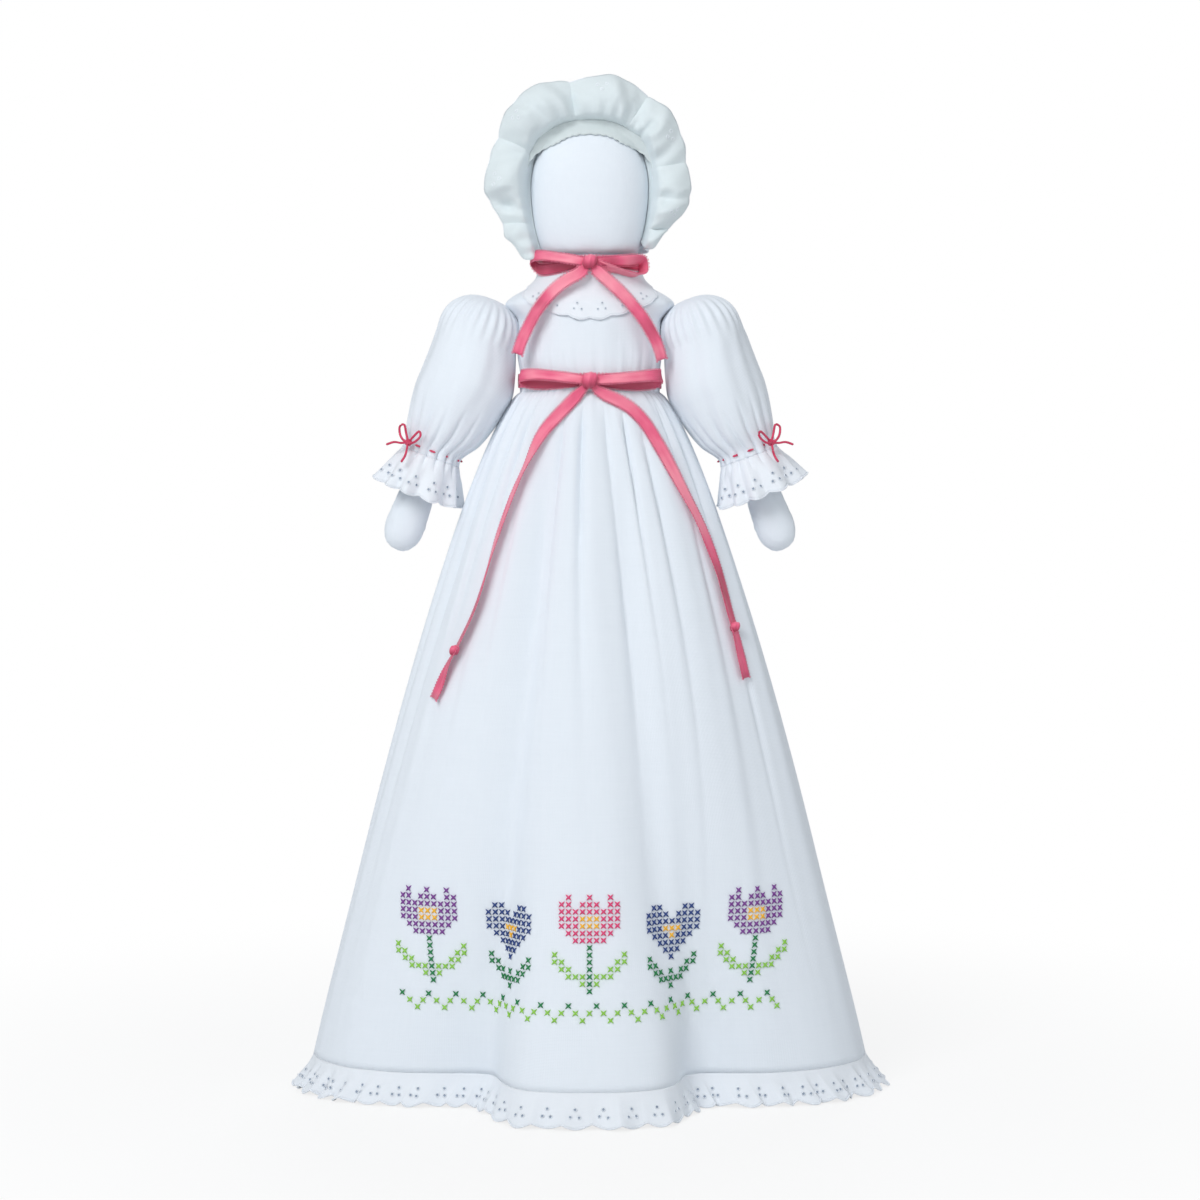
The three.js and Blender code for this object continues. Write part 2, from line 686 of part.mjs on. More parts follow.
// The arch of the face opening: straight sides and half an oval, with its outward direction
function faceArch(share, offset, drop = 0) {
  const halfWidth = crownHalfWidth * faceShare;
  const rise = crownHeight * faceShare - drop;
  const straight = headCentreZ - bonnetBottomZ;
  const curve = (Math.PI * (halfWidth + rise)) / 2;
  const along = share * (2 * straight + curve) - straight;
  const turn = Math.PI * (1 - THREE.MathUtils.clamp(along / curve, 0, 1));
  const below = Math.max(-along, along - curve, 0);
  const out = new THREE.Vector3(Math.cos(turn) / halfWidth, 0, Math.sin(turn) / rise).normalize();
  const base = new THREE.Vector3(halfWidth * Math.cos(turn), 0, headCentreZ + rise * Math.sin(turn) - below);
  return base.addScaledVector(out, offset);
}

function archRow(steps, y, offset, drop) {
  return heights(0, 1, steps).map((share) => faceArch(share, offset, drop).setY(y));
}

function ruffleRow(down, depth) {
  const steps = gatherSides * bonnetGatherCount;
  const startY = bonnetFrontY - bonnetBandWidth - 2 * sewnGap;
  return heights(0, 1, steps).map((share) => {
    const gather = bonnetGatherDepth * down * Math.cos(2 * Math.PI * bonnetGatherCount * share);
    const forward = bonnetRuffleForward * down ** 2 + gather + bonnetGatherDepth * down;
    const fullness = smooth(Math.min(share, 1 - share) / bonnetRuffleTaper);
    const width = THREE.MathUtils.lerp(bonnetRuffleEndWidth, bonnetRuffleWidth, fullness);
    const edge = faceArch(share, clothThickness / 2 + down * width, bonnetBandDrop);
    return edge.setY(startY - forward - depth);
  });
}

function makeBonnet() {
  const front = new THREE.BoxGeometry(8 * headHalfWidth, 8 * headHalfDepth, 4 * headHeight);
  front.translate(0, bonnetFrontY - 4 * headHalfDepth, headCentreZ);
  const room = crownSolid(0, bonnetBottomZ - headHeight);
  addPiece('bonnet_crown', cut(crownSolid(clothThickness, bonnetBottomZ), room, front), whiteCotton);
  const bandBack = bonnetFrontY - sewnGap;
  const bandFront = bandBack - bonnetBandWidth;
  const bandEdges = [[bandBack, 0], [bandFront, bonnetBandDrop]];
  const outside = bandEdges.map(([y, drop]) => archRow(crownSides, y, clothThickness, drop));
  const inside = bandEdges.map(([y, drop]) => archRow(crownSides, y, 0, drop));
  addPiece('bonnet_band', thickSheet(outside, inside), whiteCotton);
  const shares = heights(0, 1, 3);
  const fore = shares.map((down) => ruffleRow(down, clothThickness));
  const aft = shares.map((down) => ruffleRow(down, 0));
  addPiece('bonnet_ruffle', thickSheet(fore, aft), whiteLace);
}

// Ribbons: a band tied round the bodice, two loops, a knot and two free tails
function ribbonStrip(points, acrossAt) {
  return loft(points.map((point, k) => {
    const before = points[Math.max(k - 1, 0)];
    const after = points[Math.min(k + 1, points.length - 1)];
    const along = new THREE.Vector3().subVectors(after, before).normalize();
    const across = acrossAt(point, along).multiplyScalar(ribbonWidth / 2);
    const out = new THREE.Vector3().crossVectors(along, across).setLength(ribbonThickness / 2);
    return [[1, 1], [-1, 1], [-1, -1], [1, -1]].map(([a, b]) => (
      point.clone().addScaledVector(across, a).addScaledVector(out, b)
    ));
  }));
}

function ribbonSeat(z) {
  const sizes = heights(z - ribbonWidth / 2, z + ribbonWidth / 2, 6).map(bodyAt);
  return [0, 1].map((k) => Math.max(...sizes.map((size) => size[k])) + bodiceOffset + sewnGap);
}

function makeBand(name, z) {
  const [halfWidth, halfDepth] = ribbonSeat(z);
  const edges = [[0, -1], [ribbonThickness, -1], [ribbonThickness, 1], [0, 1]];
  const rings = edges.map(([offset, end]) => (
    ovalRing(halfWidth + offset, halfDepth + offset, z + (end * ribbonWidth) / 2, ribbonSides)
  ));
  addPiece(name, hoop(rings), satinRibbon);
}

function bowLoop(z, side, reach, knotHalfSize) {
  const [halfWidth, halfDepth] = ribbonSeat(z);
  const backOffset = ribbonThickness + sewnGap + ribbonThickness / 2;
  const end = (2 * reach) / (halfWidth + halfDepth);
  const place = (turn, offset) => new THREE.Vector3(
    side * (halfWidth + offset) * Math.sin(turn), -(halfDepth + offset) * Math.cos(turn), z);
  const start = (offset) => Math.asin((knotHalfSize + sewnGap) / (halfWidth + offset));
  const layer = (offset) => heights(start(offset), end, 6).map((turn) => place(turn, offset));
  const back = layer(backOffset);
  const front = layer(backOffset + loopOpening).reverse();
  const middle = new THREE.Vector3().addVectors(back.at(-1), front[0]).multiplyScalar(0.5);
  const ahead = new THREE.Vector3().subVectors(back.at(-1), back.at(-2)).setLength(loopOpening / 2);
  const toBack = new THREE.Vector3().subVectors(back.at(-1), middle);
  const bend = [45, 90, 135].map((angle) => middle.clone()
    .addScaledVector(toBack, Math.cos(radians(angle)))
    .addScaledVector(ahead, Math.sin(radians(angle))));
  return ribbonStrip([...back, ...bend, ...front], () => new THREE.Vector3(0, 0, 1));
}

const knotDepth = (loopOpening + ribbonThickness) / 2 + ribbonThickness;

function knotCentre(z) {
  return new THREE.Vector3(0, -(ribbonSeat(z)[1] + ribbonThickness + sewnGap + knotDepth), z);
}

function makeBow(name, z, reach, knotHalfSize) {
  makeBand(`${name}_ribbon`, z);
  for (const [sideName, side] of sides) {
    addPiece(`${name}_bow_loop_${sideName}`, bowLoop(z, side, reach, knotHalfSize), satinRibbon);
  }
  const knot = ball(1, knotSides).scale(knotHalfSize, knotDepth, knotHalfSize);
  addPiece(`${name}_knot`, knot.translate(...knotCentre(z).toArray()), satinRibbon);
}

// Routes of the free tails from the middle of their knot: across and up for the waist, which lie on the skirt
const waistTailRoutes = {
  left: [
    [-4.2, -5.2], [-8.4, -9.6], [-12.6, -14], [-20.9, -23.4], [-27.7, -37], [-34.6, -52.8], [-40.8, -70.5],
    [-49.5, -99.2], [-57.4, -116.9], [-63.1, -127.9], [-69.3, -142.1],
  ],
  right: [
    [4.4, -5.2], [11, -8.2], [18, -12], [24.5, -18.5], [30, -27.2], [35.6, -37], [42.2, -50], [50.5, -66.5],
    [57.3, -84.5], [62.4, -103.6], [66.6, -119.2], [70, -133.2],
  ],
};
const neckTailRoutes = {
  left: [
    [-4.4, 0.2, -5], [-10, 0.3, -8], [-17, 0.6, -13.5], [-24, 1.2, -22.5], [-30, 3.2, -34], [-32.3, 4.2, -41],
  ],
  right: [
    [4.4, 0.2, -5], [9, 0.3, -9], [15.7, 0.5, -15.4], [24, 1.2, -25.5], [30, 3, -36], [32.3, 4, -43.5],
  ],
};

function skirtFrontY(x, z) {
  let [left, right] = [-Math.PI, 0];
  for (let k = 0; k < bisections; k += 1) {
    const middle = (left + right) / 2;
    if (skirtPoint(middle, z, 0).x < x) left = middle;
    else right = middle;
  }
  return skirtPoint(left, z, 0).y;
}

// The tail comes down from the knot and then lies on the skirt
function layOnSkirt(knot, [across, up]) {
  const settled = smooth(-up / tailFall);
  const lift = THREE.MathUtils.lerp(tailStartLift, tailLift, settled);
  return new THREE.Vector3(across, skirtFrontY(across, knot.z + up) - lift, knot.z + up);
}

function makeTail(name, points) {
  const flatness = (hemHalfDepth / hemHalfWidth) ** 2;
  addPiece(name, ribbonStrip(points, (point, along) => {
    const out = new THREE.Vector3(point.x * flatness, point.y, 0).normalize();
    return new THREE.Vector3().crossVectors(along, out).normalize();
  }), satinRibbon);
}

function makeTails() {
  const waistKnot = knotCentre(waistRibbonZ);
  const neckKnot = knotCentre(neckRibbonZ);
  for (const [side] of sides) {
    const waistPoints = waistTailRoutes[side].map((step) => layOnSkirt(waistKnot, step));
    const neckPoints = neckTailRoutes[side].map((step) => new THREE.Vector3(...step).add(neckKnot));
    makeTail(`waist_tail_${side}`, waistPoints);
    makeTail(`neck_tail_${side}`, neckPoints);
  }
}

makeTorso();
makeNeck();
makeHead();
makeBodice();
makeSkirt();
makeHemRuffle();
makeCollar();
for (const [name, side] of sides) {
  makeShoulderTab(name, side);
  makeArm(name, side);
}
makeBonnet();
makeBow('waist', waistRibbonZ, waistLoopReach, waistKnotHalfSize);
makeBow('neck', neckRibbonZ, neckLoopReach, neckKnotHalfSize);
makeTails();

export default doll;
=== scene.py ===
"""The look of the pillowcase doll: cloth, lace, ribbons, stitches, light and camera."""
import math

import bmesh
import bpy
import numpy as np
from mathutils import Matrix


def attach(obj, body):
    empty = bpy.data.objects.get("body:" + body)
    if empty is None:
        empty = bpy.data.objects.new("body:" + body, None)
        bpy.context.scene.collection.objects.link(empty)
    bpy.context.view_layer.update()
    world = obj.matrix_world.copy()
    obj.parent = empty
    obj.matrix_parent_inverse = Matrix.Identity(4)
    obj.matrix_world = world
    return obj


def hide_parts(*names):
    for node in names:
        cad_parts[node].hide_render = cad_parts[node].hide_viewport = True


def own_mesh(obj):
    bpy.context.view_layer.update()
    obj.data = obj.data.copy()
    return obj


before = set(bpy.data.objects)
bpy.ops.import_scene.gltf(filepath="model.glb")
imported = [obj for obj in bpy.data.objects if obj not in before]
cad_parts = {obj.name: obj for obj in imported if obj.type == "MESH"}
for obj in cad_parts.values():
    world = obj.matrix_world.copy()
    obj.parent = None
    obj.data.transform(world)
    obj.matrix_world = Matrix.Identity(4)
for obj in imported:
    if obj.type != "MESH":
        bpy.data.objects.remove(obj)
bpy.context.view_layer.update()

# Sizes in millimetres, in the same frame as the solids
MM = 0.001
WAIST_SEAM_Z = 317.3
SKIRT_BOTTOM_Z = 14.3
SKIRT_LENGTH = WAIST_SEAM_Z - SKIRT_BOTTOM_Z
HEM_HALF_WIDTH, HEM_HALF_DEPTH = 127.0, 66.0
RIBBON_WIDTH, RIBBON_THICKNESS = 4.76, 0.6
LAYER_GAP = 0.3
BODICE_OFFSET = 1.4
TORSO_BASE_Z, TORSO_TOP_Z = 250.3, 364.7
BODICE_TOP_Z = 377.7
WAIST_RIBBON_Z = 322.3
NECK_RIBBON_Z = 375.02
HEAD_BOTTOM_Z, HEAD_CENTRE_Z, HEAD_TOP_Z = 381.3, 409.3, 443.3
SHOULDER_X, SHOULDER_Z = 52.2, 342.3
ARM_TILT = math.radians(20.5)
SIDES = (("left", -1), ("right", 1))


def lerp(a, b, t):
    return a + (b - a) * t


def smooth(t):
    t = np.clip(t, 0, 1)
    return t * t * (3 - 2 * t)


def unit(vectors):
    return vectors / np.maximum(np.linalg.norm(vectors, axis=-1, keepdims=True), 1e-9)


def points_of(x, y, z):
    """Points from three coordinates, spread to a common shape."""
    return np.stack(np.broadcast_arrays(x, y, z), axis=-1)


def full_turn(count):
    """Evenly spaced angles round a full turn."""
    return np.linspace(0, 2 * np.pi, count, endpoint=False)


def bell(distance, width):
    """One at no distance, falling softly to nothing over about two widths."""
    return np.exp(-((distance / width) ** 2))


def scallop(angle, depth):
    """The rounded points of a lace edge, one to every half turn of the angle."""
    return depth * (1 - np.abs(np.sin(angle)))


def linear(hex_colour):
    """A written sRGB colour as the linear values that a shader takes."""
    parts = [int(hex_colour[k:k + 2], 16) / 255 for k in (1, 3, 5)]
    return tuple(((p + 0.055) / 1.055) ** 2.4 if p > 0.04045 else p / 12.92 for p in parts) + (1.0,)


def ripple(at, seed, waves=((1.0, 1.0), (1.7, 0.6), (2.9, 0.35))):
    """A soft uneven wave along one direction, from -1 to 1 or so."""
    total = sum(share * np.sin(rate * at + seed * (3.1 + rate)) for rate, share in waves)
    return total / sum(share for _, share in waves)


def round_ripple(turn, count, seed, shift=0.0):
    """A soft uneven wave that closes on itself after a full turn."""
    rates = ((count, 1.0), (round(1.7 * count), 0.6), (round(2.9 * count), 0.35))
    total = sum(share * np.sin(rate * turn + seed * (3.1 + rate) + shift) for rate, share in rates)
    return total / sum(share for _, share in rates)


def smooth_route(points, count):
    """Evenly spaced points on a smooth curve through the given ones."""
    points = np.array(points, float)
    padded = np.vstack([2 * points[0] - points[1], points, 2 * points[-1] - points[-2]])
    t = np.linspace(0, 1, 24, endpoint=False)[:, None]
    pieces = []
    for p0, p1, p2, p3 in zip(padded, padded[1:], padded[2:], padded[3:]):
        bend = (2 * p0 - 5 * p1 + 4 * p2 - p3) * t**2 + (3 * p1 - p0 - 3 * p2 + p3) * t**3
        pieces.append(p1 + 0.5 * ((p2 - p0) * t + bend))
    dense = np.vstack(pieces + [points[-1:]])
    run = np.r_[0, np.cumsum(np.linalg.norm(np.diff(dense, axis=0), axis=1))]
    at = np.linspace(0, run[-1], count)
    return np.stack([np.interp(at, run, dense[:, k]) for k in range(3)], axis=1)


def route_length(points):
    return float(np.linalg.norm(np.diff(points, axis=0), axis=1).sum())


# Meshes
def new_object(name, points, faces):
    mesh = bpy.data.meshes.new(name)
    mesh.from_pydata((np.asarray(points).reshape(-1, 3) * MM).tolist(), [], faces)
    mesh.update()
    piece = bpy.data.objects.new(name, mesh)
    bpy.context.collection.objects.link(piece)
    return piece


def grid_faces(rows, columns, wrap):
    index = np.arange(rows * columns).reshape(rows, columns)
    right = np.roll(index, -1, axis=1) if wrap else index[:, 1:]
    left = index if wrap else index[:, :-1]
    quads = np.stack([left[:-1], right[:-1], right[1:], left[1:]], axis=-1)
    return quads.reshape(-1, 4)


def grid_piece(name, points, wrap=False):
    """A sheet through a grid of points, with a UV map in metres of cloth."""
    rows, columns = points.shape[:2]
    faces = grid_faces(rows, columns, wrap)
    centre = points.reshape(-1, 3).mean(axis=0)
    corners = points.reshape(-1, 3)[faces]
    facing = np.cross(corners[:, 2] - corners[:, 0], corners[:, 3] - corners[:, 1])
    if (facing * (corners.mean(axis=1) - centre)).sum() < 0:
        faces = faces[:, ::-1]
    piece = new_object(name, points, faces.tolist())
    closed = np.concatenate([points, points[:, :1]], axis=1) if wrap else points
    across = np.linalg.norm(np.diff(closed, axis=1), axis=2).mean(axis=0)
    down = np.linalg.norm(np.diff(points, axis=0), axis=2).mean(axis=1)
    u = np.r_[0, np.cumsum(across)] * MM
    v = np.r_[0, np.cumsum(down)] * MM
    layer = piece.data.uv_layers.new(name="cloth")
    row, column = faces // columns, faces % columns
    if wrap:
        first = (column == 0) & (column.max(axis=1, keepdims=True) == columns - 1)
        column = np.where(first, columns, column)
    layer.data.foreach_set("uv", np.stack([u[column], v[row]], axis=-1).ravel())
    return piece


def bake(piece):
    """Turns a piece's modifiers into its plain mesh."""
    graph = bpy.context.evaluated_depsgraph_get()
    graph.update()
    mesh = bpy.data.meshes.new_from_object(
        piece.evaluated_get(graph), preserve_all_data_layers=True, depsgraph=graph)
    old = piece.data
    piece.modifiers.clear()
    piece.data = mesh
    bpy.data.meshes.remove(old)
    return piece


def weld(piece, distance=0.02):
    form = bmesh.new()
    form.from_mesh(piece.data)
    bmesh.ops.remove_doubles(form, verts=form.verts, dist=distance * MM)
    bmesh.ops.recalc_face_normals(form, faces=form.faces)
    form.to_mesh(piece.data)
    form.free()
    return piece


def thicken(piece, thickness, offset=-1.0):
    wall = piece.modifiers.new("wall", "SOLIDIFY")
    wall.thickness = thickness * MM
    wall.offset = offset
    wall.use_even_offset = True
    return bake(piece)


def subdivide(piece, levels=1):
    finer = piece.modifiers.new("finer", "SUBSURF")
    finer.levels = levels
    finer.render_levels = levels
    return bake(piece)


def vertex_places(mesh):
    places = np.empty(3 * len(mesh.vertices))
    mesh.vertices.foreach_get("co", places)
    return places.reshape(-1, 3)


def move_vertices(piece, places):
    piece.data.vertices.foreach_set("co", places.ravel())
    piece.data.update()


def dress(piece, material, body, slot, *nodes):
    """Gives a finished piece its material and body, and hides the solids it stands for; the slot is not used.
    """
    if material is not None:
        piece.data.materials.clear()
        piece.data.materials.append(material)
    piece.data.polygons.foreach_set("use_smooth", [True] * len(piece.data.polygons))
    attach(piece, body)
    if nodes:
        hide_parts(*nodes)
    return piece


# Materials
def add_node(tree, kind, inputs=None, **settings):
    node = tree.nodes.new(kind)
    for name, value in settings.items():
        setattr(node, name, value)
    for key, value in (inputs or {}).items():
        if isinstance(value, bpy.types.NodeSocket):
            tree.links.new(value, node.inputs[key])
        else:
            node.inputs[key].default_value = value
    return node


def math_node(tree, operation, first, second=0.0):
    return add_node(tree, "ShaderNodeMath", {0: first, 1: second}, operation=operation).outputs[0]


def new_group(name, inputs, outputs):
    tree = bpy.data.node_groups.new(name, "ShaderNodeTree")
    for label, kind in inputs:
        tree.interface.new_socket(label, in_out="INPUT", socket_type=kind)
    for label, kind in outputs:
        tree.interface.new_socket(label, in_out="OUTPUT", socket_type=kind)
    return tree, tree.nodes.new("NodeGroupInput"), tree.nodes.new("NodeGroupOutput")


def stretched_noise(tree, vector, stretch):
    spread = add_node(tree, "ShaderNodeMapping", {"Vector": vector, "Scale": stretch})
    grain = add_node(tree, "ShaderNodeTexNoise", {"Vector": spread.outputs[0], "Scale": 1.0, "Detail": 2.0})
    return grain.outputs["Fac"]


def make_weave_group():
    """Plain weave with slubs, on coordinates in metres."""
    tree, given, result = new_group(
        "plain_weave",
        [("Vector", "NodeSocketVector"), ("Spacing", "NodeSocketFloat"), ("Slub", "NodeSocketFloat")],
        [("Height", "NodeSocketFloat"), ("Tone", "NodeSocketFloat")])
    parts = add_node(tree, "ShaderNodeSeparateXYZ", {0: given.outputs["Vector"]})
    rate = math_node(tree, "DIVIDE", 2 * math.pi, given.outputs["Spacing"])
    waves = []
    for axis in range(3):
        waves.append(math_node(tree, "SINE", math_node(tree, "MULTIPLY", parts.outputs[axis], rate)))
    weave = math_node(tree, "ADD", math_node(tree, "ADD", waves[0], waves[1]), waves[2])
    slubs = []
    for stretch in ((60, 1100, 300), (1100, 60, 300)):
        noise = stretched_noise(tree, given.outputs["Vector"], stretch)
        slubs.append(math_node(tree, "SUBTRACT", noise, 0.5))
    slub = math_node(tree, "MULTIPLY", math_node(tree, "ADD", *slubs), given.outputs["Slub"])
    height = math_node(tree, "ADD", math_node(tree, "MULTIPLY", weave, 0.17), slub)
    tree.links.new(height, result.inputs["Height"])
    tree.links.new(math_node(tree, "ADD", math_node(tree, "MULTIPLY", slub, 1.2), 0.5), result.inputs["Tone"])
    return tree


def make_streak_group():
    """Patches of painted highlight, streaks along the first axis and fine ribs across it, on coordinates in
    metres.
    """
    tree, given, result = new_group(
        "satin_streaks",
        [("Vector", "NodeSocketVector"), ("Spacing", "NodeSocketFloat")],
        [("Height", "NodeSocketFloat"), ("Tone", "NodeSocketFloat")])
    parts = add_node(tree, "ShaderNodeSeparateXYZ", {0: given.outputs["Vector"]})
    rate = math_node(tree, "DIVIDE", 2 * math.pi, given.outputs["Spacing"])
    ribs = math_node(tree, "SINE", math_node(tree, "MULTIPLY", parts.outputs[0], rate))
    streaks = stretched_noise(tree, given.outputs["Vector"], (45, 1500, 45))
    patches = stretched_noise(tree, given.outputs["Vector"], (85, 160, 85))
    tree.links.new(math_node(tree, "ADD", ribs, streaks), result.inputs["Height"])
    streak = math_node(tree, "MULTIPLY", streaks, 0.3)
    tone = math_node(tree, "ADD", streak, math_node(tree, "MULTIPLY", patches, 0.7))
    tree.links.new(tone, result.inputs["Tone"])
    return tree


WEAVE = make_weave_group()
STREAKS = make_streak_group()


def new_material(name):
    material = bpy.data.materials.new(name)
    material.use_nodes = True
    return material, material.node_tree, material.node_tree.nodes["Principled BSDF"]


def add_relief(tree, shader, group, coordinate, group_inputs, bump):
    """Places a shared group in a material, gives the shader its bump and returns its tone."""
    place = add_node(tree, "ShaderNodeTexCoord").outputs[coordinate]
    surface = add_node(tree, "ShaderNodeGroup", node_tree=group)
    tree.links.new(place, surface.inputs["Vector"])
    for label, value in group_inputs.items():
        surface.inputs[label].default_value = value
    relief = add_node(tree, "ShaderNodeBump", {"Height": surface.outputs["Height"], "Distance": bump * MM})
    tree.links.new(relief.outputs["Normal"], shader.inputs["Normal"])
    return surface.outputs["Tone"]


def finish_material(name, group, coordinate, group_inputs, colours, roughness, bump, **constants):
    """A material whose tone and bump come from a shared group, with plain values on the shader itself."""
    material, tree, shader = new_material(name)
    tone = add_relief(tree, shader, group, coordinate, group_inputs, bump)
    tint = add_node(tree, "ShaderNodeValToRGB", {"Fac": tone})
    for stop, (at, colour) in zip(tint.color_ramp.elements, zip((0.3, 0.7), colours)):
        stop.position = at
        stop.color = linear(colour)
    tree.links.new(tint.outputs["Color"], shader.inputs["Base Color"])
    shader.inputs["Roughness"].default_value = roughness
    for label, value in constants.items():
        shader.inputs[label.replace("_", " ")].default_value = value
    return material


def woven(name, coordinate, spacing, slub, colours, roughness, bump, **constants):
    """A woven cloth or twisted thread, with its threads' spacing in millimetres."""
    threads = {"Spacing": spacing * MM, "Slub": slub}
    return finish_material(name, WEAVE, coordinate, threads, colours, roughness, bump, **constants)


COTTON_COLOURS = ("#E3EAF2", "#EAF0F7")
LACE_COLOURS = ("#E5EBF2", "#EEF2F8")
COTTON_FINISH = {"Sheen_Weight": 0.12, "Sheen_Roughness": 0.5, "Specular_IOR_Level": 0.2}
LACE_FINISH = {"Sheen_Weight": 0.12, "Specular_IOR_Level": 0.2}
cotton = woven("white_cotton", "UV", 0.62, 0.14, COTTON_COLOURS, 0.85, 0.05, **COTTON_FINISH)
stuffed_cotton = woven("stuffed_cotton", "Object", 0.62, 0.14, COTTON_COLOURS, 0.85, 0.05, **COTTON_FINISH)
# The lining's grey-green is painted shade: the shadow that the ruffle casts on the band's lip.
lining_painted_shade = woven("bonnet_lining_painted_shade", "UV", 0.62, 0.14, ("#CDD6D7", "#D6DEDF"), 0.9, 0.05,
               Specular_IOR_Level=0.1)
lace = woven("eyelet_lace", "UV", 0.55, 0.14, LACE_COLOURS, 0.8, 0.045, **LACE_FINISH)
# The bonnet's lace is a greyer, greener copy of the eyelet lace: painted shade.
bonnet_lace_painted_shade = woven("bonnet_lace_painted_shade", "UV", 0.55, 0.14, ("#D7E1E4", "#DFE8EB"), 0.8, 0.045, **LACE_FINISH)
lace_thread = woven("lace_thread", "Object", 0.4, 0.3, LACE_COLOURS, 0.6, 0.05, Specular_IOR_Level=0.3)
eyelet_shade = woven("eyelet_shade", "Object", 0.6, 0.5, ("#8794A6", "#9FABBA"), 0.95, 0.05,
                     Specular_IOR_Level=0.05)
muslin = woven("muslin", "Object", 0.7, 0.6, ("#DFE3E6", "#E8EBEE"), 0.9, 0.07,
               Sheen_Weight=0.1, Specular_IOR_Level=0.2)
picot_thread = woven("picot_thread", "Object", 0.4, 0.6, ("#DD5F83", "#F08DA6"), 0.45, 0.04,
                     Specular_IOR_Level=0.4)
red_thread = woven("red_thread", "Object", 0.5, 0.8, ("#C02A52", "#DC3F66"), 0.5, 0.1,
                   Sheen_Weight=0.2, Specular_IOR_Level=0.4)


def make_satin():
    """Satin whose painted highlight and shade, from the dark to the light of the ribbon, are held by its
    mesh.
    """
    # The colour runs from painted shade through the ribbon's own pink to painted highlight.
    material = finish_material(
        "satin_ribbon", STREAKS, "UV", {"Spacing": 0.45 * MM}, ("#B8405E", "#F78FA4"), 0.36, 0.02,
        Sheen_Weight=0.2, Sheen_Roughness=0.3, Anisotropic=0.5, Specular_IOR_Level=0.45)
    tree = material.node_tree
    tint = tree.nodes["Color Ramp"]
    middle = tint.color_ramp.elements.new(0.5)
    middle.color = linear("#E85F84")
    tone = tint.inputs["Fac"].links[0].from_socket
    painted_light = add_node(tree, "ShaderNodeAttribute", attribute_name="painted_light")
    half = math_node(tree, "MULTIPLY", tone, 0.5)
    tree.links.new(math_node(tree, "ADD", half, math_node(tree, "MULTIPLY", painted_light.outputs["Fac"], 0.5)),
                   tint.inputs["Fac"])
    return material


def make_floss():
    """Embroidery floss whose colour is held by each stitch."""
    material, tree, shader = new_material("embroidery_floss")
    colour = add_node(tree, "ShaderNodeAttribute", attribute_name="stitch_colour")
    tree.links.new(colour.outputs["Color"], shader.inputs["Base Color"])
    add_relief(tree, shader, WEAVE, "Object", {"Spacing": 0.35 * MM, "Slub": 0.5}, 0.05)
    shader.inputs["Roughness"].default_value = 0.55
    return material


satin = make_satin()
floss = make_floss()

# Camera, light and floor. The photograph is taken from the front, a little above the middle.
VIEW_WIDTH = 547.0
VIEW_DISTANCE = 1250.0
VIEW_CENTRE = np.array([4.6, 0.0, 222.8])
VIEW_RISE = 69.0
SENSOR_WIDTH = 36.0
WORLD_STRENGTH = 0.39
# Each lamp: where it stands and what it looks at in millimetres, its size in metres and its power in watts
LAMPS = {
    "key_light": ((-700, -1300, 1250), (0, 0, 230), 0.9, 17.2),
    "fill_light": ((1100, -900, 700), (0, 0, 220), 1.2, 2.8),
    "back_light": ((200, 1300, 900), (0, 0, 230), 1.0, 6.5),
}


def aim(thing, target):
    """Turns a camera or lamp so that it looks at a point in millimetres."""
    ahead = thing.location.copy()
    ahead.x, ahead.y, ahead.z = (np.array(target) * MM - np.array(thing.location)).tolist()
    thing.rotation_euler = ahead.to_track_quat("-Z", "Y").to_euler()


def make_camera():
    lens = bpy.data.cameras.new("camera")
    lens.sensor_width = SENSOR_WIDTH
    lens.lens = SENSOR_WIDTH * VIEW_DISTANCE / VIEW_WIDTH
    camera = bpy.data.objects.new("camera", lens)
    bpy.context.collection.objects.link(camera)
    camera.location = (VIEW_CENTRE + np.array([0.0, -VIEW_DISTANCE, VIEW_RISE])) * MM
    aim(camera, VIEW_CENTRE)
    bpy.context.scene.camera = camera


def make_lamp(name, place, target, size, power):
    lamp = bpy.data.lights.new(name, "AREA")
    lamp.shape = "DISK"
    lamp.size = size
    lamp.energy = power
    holder = bpy.data.objects.new(name, lamp)
    bpy.context.collection.objects.link(holder)
    holder.location = np.array(place) * MM
    aim(holder, target)


def make_world(strength):
    world = bpy.data.worlds.new("studio")
    bpy.context.scene.world = world
    world.use_nodes = True
    tree = world.node_tree
    tree.nodes.clear()
    path = add_node(tree, "ShaderNodeLightPath")
    seen = math_node(tree, "MAXIMUM", path.outputs["Is Camera Ray"], path.outputs["Is Glossy Ray"])
    soft = add_node(tree, "ShaderNodeBackground", {"Color": (0.93, 0.97, 1.0, 1.0), "Strength": strength})
    white = add_node(tree, "ShaderNodeBackground", {"Color": (1.0, 1.0, 1.0, 1.0), "Strength": 1.0})
    both = add_node(tree, "ShaderNodeMixShader", {0: seen, 1: soft.outputs[0], 2: white.outputs[0]})
    add_node(tree, "ShaderNodeOutputWorld", {"Surface": both.outputs[0]})


